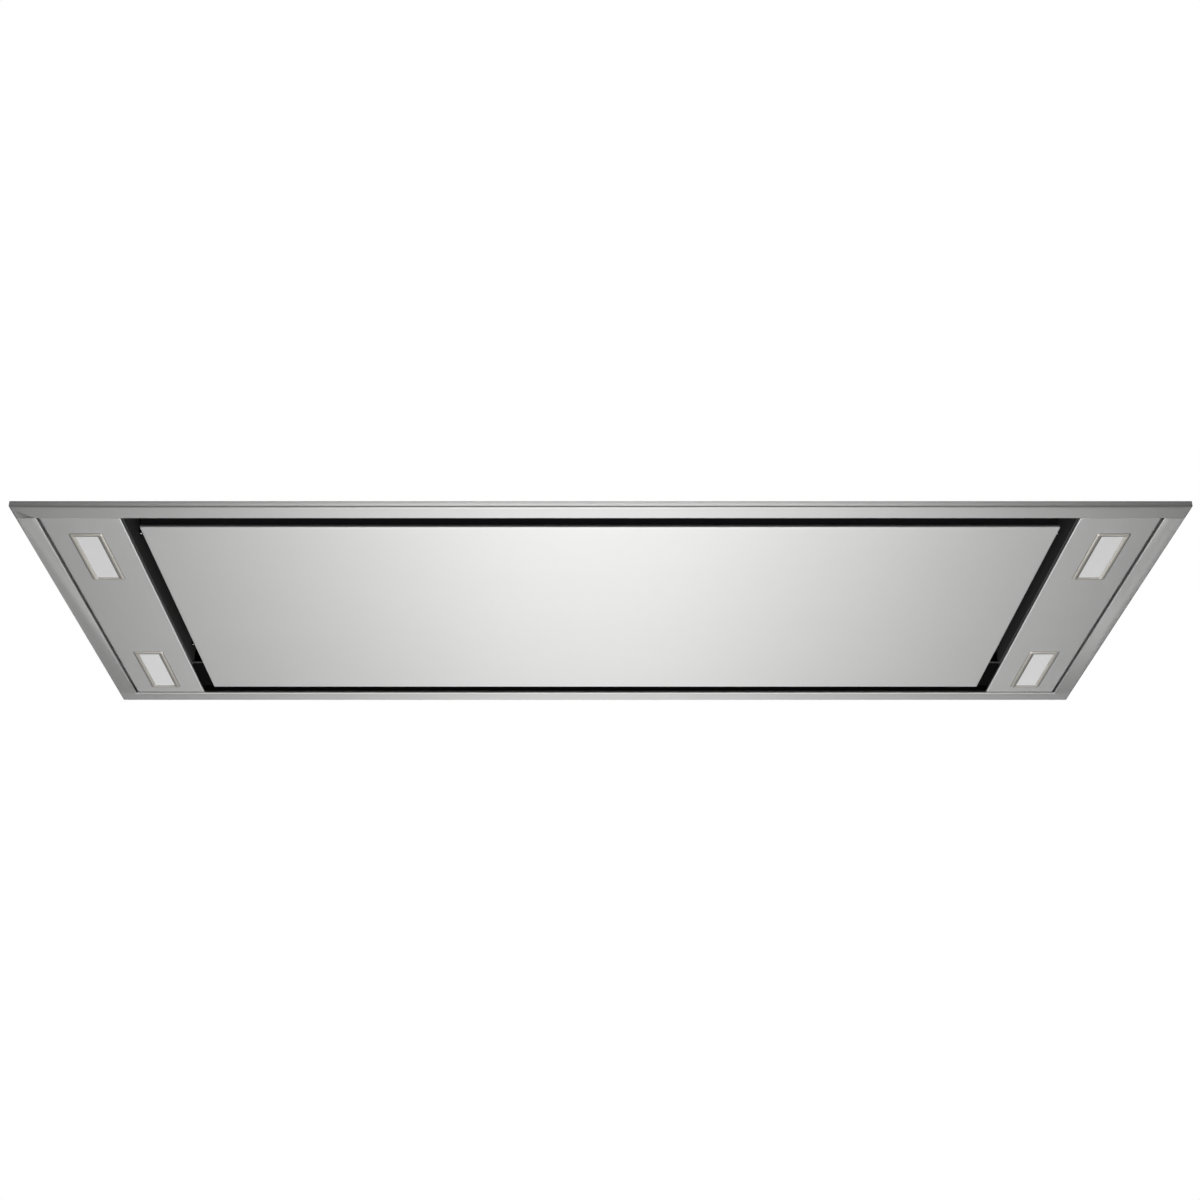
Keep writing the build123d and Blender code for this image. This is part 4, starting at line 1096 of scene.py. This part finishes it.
for word in ("left", "right"):
    low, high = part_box(f"filter_mesh_{word}")
    layer_gap = (high.z - low.z) / len(MESH_SHIFTS)
    grown(
        f"filter_mesh_{word}_expanded",
        expanded,
        [
            (
                (low.x + high.x) / 2 + across,
                (low.y + high.y) / 2 + along,
                low.z + layer_gap * (layer + 0.5),
            )
            for layer, (across, along) in enumerate(MESH_SHIFTS)
        ],
        [],
        {
            "Width": high.x - low.x,
            "Depth": high.y - low.y,
            "Pad Width": FILTER_PAD_WIDTH,
            "Pad Depth": FILTER_PAD_DEPTH,
        },
        mill_aluminium,
        "body",
        [f"filter_mesh_{word}"],
    )
    softened(f"filter_frame_{word}", mill_aluminium, "body", 1.0 * MM)
    softened(f"filter_latch_{word}", latch_plastic, f"latch_{word}", 0.5 * MM)


# Body above the ceiling: galvanised sheet with its zinc spangle, held together by hex
# washer-head screws, and four plated Z brackets for the hanging rods.
galvanised = zinc("galvanised_sheet", (0.66, 0.68, 0.69))
for name in ("body_shell", "body_top", "motor_box", "motor_box_lid"):
    softened(name, galvanised, "body", 0.3 * MM)
softened("hanger_brackets", plated, "body", 0.9 * MM)


SCREW_WELD = 0.01 * MM


def case_screws():
    """A hex washer-head screw at the place of every CAD screw."""
    screws = bmesh.new()
    screws.from_mesh(frame["nodes"]["case_screws"].data)
    bmesh.ops.remove_doubles(screws, verts=screws.verts, dist=SCREW_WELD)
    seen = set()
    places = []
    for vertex in screws.verts:
        if vertex.index in seen:
            continue
        screw = {vertex}
        reached = [vertex]
        while reached:
            for edge in reached.pop().link_edges:
                for other in edge.verts:
                    if other not in screw:
                        screw.add(other)
                        reached.append(other)
        seen.update(v.index for v in screw)
        xs, ys, zs = zip(*(tuple(v.co) for v in screw))
        places.append(((min(xs) + max(xs)) / 2, (min(ys) + max(ys)) / 2, max(zs) - HEX_HEAD))
    screws.free()
    grown(
        "case_screws_hex",
        studs,
        places,
        [(0, 0, 1)] * len(places),
        {},
        plated,
        "body",
        ["case_screws"],
    )


case_screws()


# Duct outlet: a black moulded collar with a lead-in at its mouth, two grip ribs round it and
# a ledge inside, on which the two half flaps rest. The flaps turn on one plated spindle.
def turned(section, centre, axis="z", steps=96, closed=True):
    """A ring of (radius, along) points drawn round an axis through the centre."""
    rings = []
    for radius, along in section:
        ring = []
        for step in range(steps):
            angle = 2 * math.pi * step / steps
            u, v = radius * math.cos(angle), radius * math.sin(angle)
            spot = (u, v, along) if axis == "z" else (along, u, v)
            ring.append(tuple(a + b for a, b in zip(spot, centre)))
        rings.append(ring)
    points, faces = bridge(rings, closed=closed)
    if not closed:
        faces.append(tuple(range(steps)))
        faces.append(tuple(range(len(points) - steps, len(points))))
    return points, faces


moulded = coated("black_moulding", (0.022, 0.022, 0.023), 0.46, bump=0.25)
PIPE_RADIUS = 74.5 * MM
COLLAR_WALL = 1.0 * MM
FLANGE_EASE = 0.3 * MM
LEDGE_DEPTH = 4.5 * MM
LEDGE_DROP = 0.8 * MM
RIB_STARTS = (10.0 * MM, 20.0 * MM)
RIB_OUTLINE = ((0.35 * MM, 0.0), (0.35 * MM, 4.0 * MM), (0.0, 4.6 * MM), (0.0, 6.0 * MM))
MOUTH_LEAD_IN = ((0.0, 3.0 * MM), (0.5 * MM, 0.2 * MM), (0.6 * MM, 0.0))


def outlet_collar():
    low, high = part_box("outlet_collar")
    inner = PIPE_RADIUS - COLLAR_WALL
    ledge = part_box("damper_spindle")[0].z - LEDGE_DROP
    flange = high.x
    flange_top = low.z + COLLAR_WALL
    section = [
        (inner, low.z),
        (flange - FLANGE_EASE, low.z),
        (flange, low.z + FLANGE_EASE),
        (flange, flange_top - FLANGE_EASE),
        (flange - FLANGE_EASE, flange_top),
        (PIPE_RADIUS, flange_top),
    ]
    for start in RIB_STARTS:
        section += [(PIPE_RADIUS - dip, low.z + start + up) for dip, up in RIB_OUTLINE]
    section += [(PIPE_RADIUS - dip, high.z - down) for dip, down in MOUTH_LEAD_IN]
    section += [
        (inner, high.z),
        (inner, ledge),
        (inner - LEDGE_DEPTH, ledge),
        (inner - LEDGE_DEPTH, ledge - COLLAR_WALL),
        (inner, ledge - COLLAR_WALL),
    ]
    piece(
        "outlet_collar_moulded",
        turned(section, (0, 0, 0)),
        moulded,
        "body",
        ["outlet_collar"],
        smooth=40,
    )


outlet_collar()
softened("damper_spindle", plated, "body", 0.3 * MM)
softened("damper_flap_front", moulded, "flap_front", 0.25 * MM)
softened("damper_flap_rear", moulded, "flap_rear", 0.25 * MM)


# Blower: a galvanised scroll, the impeller with its forward-curved blades, and a dark motor,
# ribbed between its end bells, on a plated three-armed mount.
def wheel_tree():
    """Curved blades round a ring of points, all pointing outward from the axis."""
    sizes = {
        "Inner Radius": 67.0 * MM,
        "Outer Radius": 79.0 * MM,
        "Lean": 5.0 * MM,
        "Belly": 1.0 * MM,
        "Sheet": 0.9 * MM,
        "Width": 91.0 * MM,
    }
    tree, given, out = growth_start("impeller blades", sizes, {"Blades": 36})
    link = tree.links.new
    middle = node(tree, "ShaderNodeMath", operation="ADD")
    link(given.outputs["Inner Radius"], middle.inputs[0])
    link(given.outputs["Outer Radius"], middle.inputs[1])
    half = node(tree, "ShaderNodeMath", {1: 0.5}, operation="MULTIPLY")
    link(middle.outputs[0], half.inputs[0])
    start = node(tree, "ShaderNodeCombineXYZ")
    belly = node(tree, "ShaderNodeCombineXYZ")
    end = node(tree, "ShaderNodeCombineXYZ")
    link(given.outputs["Inner Radius"], start.inputs["X"])
    link(half.outputs[0], belly.inputs["X"])
    link(given.outputs["Belly"], belly.inputs["Y"])
    link(given.outputs["Outer Radius"], end.inputs["X"])
    link(given.outputs["Lean"], end.inputs["Y"])
    line = node(tree, "GeometryNodeCurveArc", {"Resolution": 7}, mode="POINTS")
    link(start.outputs[0], line.inputs["Start"])
    link(belly.outputs[0], line.inputs["Middle"])
    link(end.outputs[0], line.inputs["End"])
    upright = node(tree, "GeometryNodeSetCurveNormal", mode="Z_UP")
    profile = node(tree, "GeometryNodeCurvePrimitiveQuadrilateral")
    link(given.outputs["Sheet"], profile.inputs["Width"])
    link(given.outputs["Width"], profile.inputs["Height"])
    blade = node(tree, "GeometryNodeCurveToMesh", {"Fill Caps": True})
    link(line.outputs[0], upright.inputs[0])
    link(upright.outputs[0], blade.inputs["Curve"])
    link(profile.outputs[0], blade.inputs["Profile Curve"])
    along = node(tree, "GeometryNodeMeshLine", mode="OFFSET")
    link(given.outputs["Blades"], along.inputs["Count"])
    along.inputs["Offset"].default_value = (0.0, 0.0, 0.0)
    index = node(tree, "GeometryNodeInputIndex")
    share = node(tree, "ShaderNodeMath", operation="DIVIDE")
    link(index.outputs[0], share.inputs[0])
    link(given.outputs["Blades"], share.inputs[1])
    angle = node(tree, "ShaderNodeMath", {1: 2 * math.pi}, operation="MULTIPLY")
    link(share.outputs[0], angle.inputs[0])
    turn = node(tree, "ShaderNodeCombineXYZ")
    link(angle.outputs[0], turn.inputs["Z"])
    spread = node(tree, "GeometryNodeInstanceOnPoints")
    link(along.outputs[0], spread.inputs["Points"])
    link(blade.outputs[0], spread.inputs["Instance"])
    link(turn.outputs[0], spread.inputs["Rotation"])
    wheel = node(tree, "GeometryNodeRealizeInstances")
    laid = node(tree, "GeometryNodeTransform")
    laid.inputs["Rotation"].default_value = (0.0, math.pi / 2, 0.0)
    placed = node(tree, "GeometryNodeInstanceOnPoints")
    link(spread.outputs[0], wheel.inputs[0])
    link(wheel.outputs[0], laid.inputs["Geometry"])
    link(given.outputs["Geometry"], placed.inputs["Points"])
    link(laid.outputs[0], placed.inputs["Instance"])
    growth_end(tree, given, out, placed.outputs[0])
    return tree


wheel_blades = wheel_tree()
RING_SHEET = 2.0 * MM
RING_EASE = 0.2 * MM
EYE_RADIUS = 66.0 * MM
HUB_RADIUS = 12.0 * MM
HUB_HALF = 14.0 * MM
HUB_EASE = 1.0 * MM
HUB_FOOT = 2.0 * MM
BLADE_INSET = 1.0 * MM
SHAFT_HOLE = 4.0 * MM


def impeller():
    low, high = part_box("impeller")
    axis = (0.0, (low.y + high.y) / 2, (low.z + high.z) / 2)
    radius = (high.z - low.z) / 2
    grown(
        "impeller_blades",
        wheel_blades,
        [axis],
        [],
        {"Width": high.x - low.x - BLADE_INSET, "Outer Radius": radius - BLADE_INSET},
        galvanised,
        "rotor",
        ["impeller"],
    )
    for word, along in (("left", low.x), ("right", high.x - RING_SHEET)):
        section = [
            (EYE_RADIUS, along),
            (radius - RING_EASE, along),
            (radius, along + RING_EASE),
            (radius, along + RING_SHEET - RING_EASE),
            (radius - RING_EASE, along + RING_SHEET),
            (EYE_RADIUS, along + RING_SHEET),
        ]
        piece(
            f"impeller_ring_{word}",
            turned(section, axis, "x"),
            galvanised,
            "rotor",
            [],
        )
    half = RING_SHEET / 2
    disc = [
        (SHAFT_HOLE, -HUB_HALF),
        (HUB_RADIUS - HUB_EASE, -HUB_HALF),
        (HUB_RADIUS, -HUB_HALF + HUB_EASE),
        (HUB_RADIUS, -half - HUB_FOOT),
        (HUB_RADIUS + HUB_FOOT, -half),
        (radius * 0.5, -half),
        (radius * 0.56, half * 0.2),
        (radius * 0.78, half * 0.2),
        (radius * 0.82, -half),
        (radius, -half),
        (radius, half),
        (radius * 0.82 - half, half),
        (radius * 0.78 + half, half * 1.1),
        (HUB_RADIUS + HUB_FOOT, half),
        (HUB_RADIUS, half + HUB_FOOT),
        (HUB_RADIUS, HUB_HALF - HUB_EASE),
        (HUB_RADIUS - HUB_EASE, HUB_HALF),
        (SHAFT_HOLE, HUB_HALF),
    ]
    piece("impeller_disc", turned(disc, axis, "x"), galvanised, "rotor", [])


motor_paint = coated("motor_paint", (0.085, 0.09, 0.095), 0.45, bump=0.3)
RIB_COUNT = 6
RIB_DEPTH = 1.5 * MM
BELL = 4.0 * MM
BOSS = 14.0 * MM
BOSS_LENGTH = 8.0 * MM
MOTOR_BORE = 4.05 * MM


def motor():
    low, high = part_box("motor")
    axis = (0.0, (low.y + high.y) / 2, (low.z + high.z) / 2)
    radius = (high.z - low.z) / 2
    face = high.x - BOSS_LENGTH
    section = [(MOTOR_BORE, low.x), (BOSS - 2.0 * MM, low.x), (BOSS, low.x + 1.0 * MM)]
    section += [(radius - BELL + u, z) for u, z in arc(0, low.x + BELL, BELL, 270, 360, 6)]
    pitch = (face - low.x - 4 * BELL) / RIB_COUNT
    for rib in range(RIB_COUNT):
        root = low.x + 2 * BELL + rib * pitch
        section += [
            (radius, root),
            (radius - RIB_DEPTH, root + 0.2 * pitch),
            (radius - RIB_DEPTH, root + 0.6 * pitch),
            (radius, root + 0.8 * pitch),
        ]
    section += [(radius - BELL + u, z) for u, z in arc(0, face - BELL, BELL, 0, 90, 6)]
    section += [
        (BOSS, face),
        (BOSS, high.x - 1.0 * MM),
        (BOSS - 1.0 * MM, high.x),
        (MOTOR_BORE, high.x),
    ]
    piece(
        "motor_ribbed",
        turned(section, axis, "x"),
        motor_paint,
        "body",
        ["motor"],
    )


impeller()
motor()
softened("blower_scroll", galvanised, "body", 0.3 * MM)
softened("motor_shaft", plated, "rotor", 0.3 * MM)
softened("motor_mount", plated, "body", 0.5 * MM)


# Control box: galvanised, with a green board on four posts, its parts in their own colours,
# and a black gland with a domed cap for the supply cable.
def board_material():
    """Green lacquer on the board and dark cases above it, told apart by height."""
    low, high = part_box("control_board")
    material, tree, shader = surface("control_board", Roughness=0.38)
    place = node(tree, "ShaderNodeTexCoord")
    parts = node(tree, "ShaderNodeSeparateXYZ")
    scaled = node(tree, "ShaderNodeMapRange")
    scaled.inputs["From Min"].default_value = low.z
    scaled.inputs["From Max"].default_value = high.z
    ramp = node(tree, "ShaderNodeValToRGB")
    ramp.color_ramp.interpolation = "CONSTANT"
    ramp.color_ramp.elements[0].color = (0.02, 0.13, 0.05, 1.0)
    ramp.color_ramp.elements[1].position = 0.08
    ramp.color_ramp.elements[1].color = (0.03, 0.03, 0.035, 1.0)
    tree.links.new(place.outputs["Object"], parts.inputs["Vector"])
    tree.links.new(parts.outputs["Z"], scaled.inputs["Value"])
    tree.links.new(scaled.outputs["Result"], ramp.inputs["Fac"])
    tree.links.new(ramp.outputs["Color"], shader.inputs["Base Color"])
    return material


GLAND_BORE = 4.2 * MM
GLAND_NECK = 8.0 * MM
GLAND_CAP = 10.0 * MM
GLAND_DOME = 3.0 * MM
GLAND_NUT = 6.0 * MM


def cable_gland():
    low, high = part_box("cable_gland")
    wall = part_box("control_box")[1].x
    axis = (0.0, 0.0, (low.z + high.z) / 2)
    flats = (high.z - low.z) / 2
    nut_top = wall + GLAND_NUT
    shapes = []
    for radius, start, end, steps in (
        (GLAND_NECK, low.x, nut_top + 2.0 * MM, 64),
        (flats, wall, nut_top, 6),
        (flats, wall - GLAND_NUT, wall - SHEET, 6),
    ):
        tube = [(GLAND_BORE, start), (radius, start), (radius, end), (GLAND_BORE, end)]
        shapes.append((tube, steps))
    bend = arc(0, high.x - GLAND_DOME, GLAND_DOME, 0, 80, 6)
    dome = [(GLAND_CAP - GLAND_DOME + u, z) for u, z in bend]
    cap = [(GLAND_BORE, nut_top), (GLAND_CAP, nut_top), *dome, (GLAND_BORE, high.x)]
    shapes.append((cap, 64))
    points, faces = [], []
    for section, steps in shapes:
        more_points, more_faces = turned(section, axis, "x", steps)
        faces += [tuple(i + len(points) for i in face) for face in more_faces]
        points += more_points
    piece(
        "cable_gland_turned",
        (points, faces),
        moulded,
        "body",
        ["cable_gland"],
    )


softened("control_box", galvanised, "body", 0.3 * MM)
softened("control_box_lid", galvanised, "body", 0.3 * MM)
softened("control_board", board_material(), "body", 0.15 * MM)
cable_gland()


# Stage: a floor well below the hood, white to the camera and dark to the light, and a ceiling
# round the trim that only the camera sees, and only from below, so that it hides the body as
# it does when installed.
FLOOR_Z = -2.4
FLOOR_REACH = 9.0
FLOOR_SHADE = 0.2
CEILING_REACH = 12.0
CEILING_LIFT = 0.1 * MM


def flat(name, rings, z, material):
    """A flat piece of the stage: one outline seen from above, or a frame seen from below."""
    points = []
    for x, y in rings:
        points += [(-x, -y, z), (x, -y, z), (x, y, z), (-x, y, z)]
    faces = [(0, 1, 2, 3)]
    if len(rings) == 2:
        faces = [(i, (i + 1) % 4, (i + 1) % 4 + 4, i + 4) for i in range(4)]
    mesh = bpy.data.meshes.new(name)
    mesh.from_pydata(points, [], faces)
    mesh.materials.append(material)
    made = bpy.data.objects.new(name, mesh)
    bpy.context.scene.collection.objects.link(made)
    made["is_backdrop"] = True


def seen_white(name, shade, one_sided):
    """White where the camera looks straight at it, and otherwise the given shade or nothing."""
    material, tree, shader = surface(name, Roughness=0.9)
    shader.inputs["Base Color"].default_value = (shade, shade, shade, 1.0)
    white = node(tree, "ShaderNodeEmission")
    path = node(tree, "ShaderNodeLightPath")
    mix = node(tree, "ShaderNodeMixShader")
    out = tree.nodes["Material Output"]
    link = tree.links.new
    link(path.outputs["Is Camera Ray"], mix.inputs["Fac"])
    link(shader.outputs[0], mix.inputs[1])
    if one_sided:
        clear = node(tree, "ShaderNodeBsdfTransparent")
        side = node(tree, "ShaderNodeNewGeometry")
        facing = node(tree, "ShaderNodeMath", operation="SUBTRACT", use_clamp=True)
        link(path.outputs["Is Camera Ray"], facing.inputs[0])
        link(side.outputs["Backfacing"], facing.inputs[1])
        link(facing.outputs[0], mix.inputs["Fac"])
        link(clear.outputs[0], mix.inputs[1])
    link(white.outputs[0], mix.inputs[2])
    link(mix.outputs[0], out.inputs["Surface"])
    return material


floor_paint = seen_white("floor_paint", FLOOR_SHADE, False)
flat("floor", [(FLOOR_REACH, FLOOR_REACH)], FLOOR_Z, floor_paint)
flat(
    "ceiling",
    [(TRIM_X - SHEET, TRIM_Y - SHEET), (CEILING_REACH, CEILING_REACH)],
    CEILING_LIFT,
    seen_white("ceiling_paint", 0.0, True),
)


# Light: feathered soft boxes, each a stack of lights that share a centre and grow in width,
# so that the brushed sheet shows one soft band that fades to both ends.
LAYER_STEP = 0.03
WATTS_PER_RADIANCE = 4.0
WORLD_SHADE = (0.04, 0.04, 0.04, 1.0)


def soft_box(name, place, aim, depth, layers):
    """A stack of area lights, each a (width, radiance), a little behind one another."""
    towards = (Vector(aim) - Vector(place)).normalized()
    for layer, (width, radiance) in enumerate(layers):
        data = bpy.data.lights.new(f"{name}_{layer}", "AREA")
        data.shape = "RECTANGLE"
        data.size = width
        data.size_y = depth
        data.energy = WATTS_PER_RADIANCE * radiance * width * depth
        lamp = bpy.data.objects.new(f"{name}_{layer}", data)
        lamp.location = Vector(place) - towards * LAYER_STEP * layer
        lamp.rotation_euler = towards.to_track_quat("-Z", "Y").to_euler()
        bpy.context.scene.collection.objects.link(lamp)


def world():
    """A nearly dark world, white where the camera or clear glass looks out of the scene."""
    made = bpy.data.worlds.new("studio")
    made.use_nodes = True
    tree = made.node_tree
    back = tree.nodes["Background"]
    path = node(tree, "ShaderNodeLightPath")
    seen = node(tree, "ShaderNodeMath", operation="MAXIMUM")
    ramp = node(tree, "ShaderNodeValToRGB")
    ramp.color_ramp.elements[0].color = WORLD_SHADE
    ramp.color_ramp.elements[1].color = (1.0, 1.0, 1.0, 1.0)
    tree.links.new(path.outputs["Is Camera Ray"], seen.inputs[0])
    tree.links.new(path.outputs["Is Transmission Ray"], seen.inputs[1])
    tree.links.new(seen.outputs[0], ramp.inputs["Fac"])
    tree.links.new(ramp.outputs["Color"], back.inputs["Color"])
    bpy.context.scene.world = made


world()
soft_box(
    "under",
    (0.04, 2.2, -2.0),
    (0.04, 2.2, 0.0),
    0.8,
    [(0.8, 1.15), (1.8, 0.65), (3.2, 1.1)],
)
soft_box("middle_under", (0.0, 3.1, -2.0), (0.0, 3.1, 0.0), 0.8, [(0.8, 0.55)])
soft_box("far_under", (-0.12, 4.0, -2.0), (-0.12, 4.0, 0.0), 0.8, [(2.6, 0.2), (4.7, 0.6)])
soft_box("below", (0.04, 0.3, -2.0), (0.04, 0.3, 0.0), 0.9, [(1.6, 1.6), (4.0, 0.8)])
soft_box("far_below", (0.04, 1.25, -2.0), (0.04, 1.25, 0.0), 0.9, [(1.6, 1.6)])
soft_box("low", (0.0, -1.0, -2.2), (0.0, -1.0, 0.0), 0.9, [(5.0, 0.2)])
soft_box("near_low", (0.0, -3.6, -2.2), (0.0, -3.6, 0.0), 2.2, [(5.5, 0.3)])
soft_box("left_low", (-3.9, -0.4, -2.2), (-3.9, -0.4, 0.0), 4.0, [(1.8, 0.4)])
soft_box("right_low", (3.9, -0.4, -2.2), (3.9, -0.4, 0.0), 4.0, [(1.8, 0.4)])
soft_box(
    "front",
    (0.0, -4.0, 2.1),
    (0.0, 0.0, 0.0),
    1.8,
    [(1.6, 0.93), (2.6, 0.85), (3.6, 0.4)],
)
soft_box("rear", (0.0, 4.2, 2.2), (0.0, 0.0, 0.1), 2.6, [(4.4, 1.2)])
soft_box("left", (-4.2, 0.2, 2.0), (0.0, 0.0, 0.1), 2.6, [(3.4, 1.1)])
soft_box("right", (4.2, 0.2, 2.0), (0.0, 0.0, 0.1), 2.6, [(3.4, 1.1)])
soft_box("above", (0.2, 0.2, 3.6), (0.0, 0.0, 0.1), 4.0, [(4.0, 0.95)])


# Camera: at the photo's viewing angle, from below and in front, a little left of the middle.
# Its place, lens and shifts are those that fit the trim's four corners in the photo.
def camera():
    data = bpy.data.cameras.new("camera")
    data.lens = 51.74
    data.sensor_width = 36.0
    data.shift_x = 0.0225
    data.shift_y = -0.0003
    made = bpy.data.objects.new("camera", data)
    made.location = (-0.0280, -1.7745, -0.866)
    made.rotation_euler = (math.radians(90 + 26.32), 0, 0)
    bpy.context.scene.collection.objects.link(made)
    bpy.context.scene.camera = made


camera()
bpy.context.scene.view_settings.view_transform = "Standard"

low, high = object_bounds()
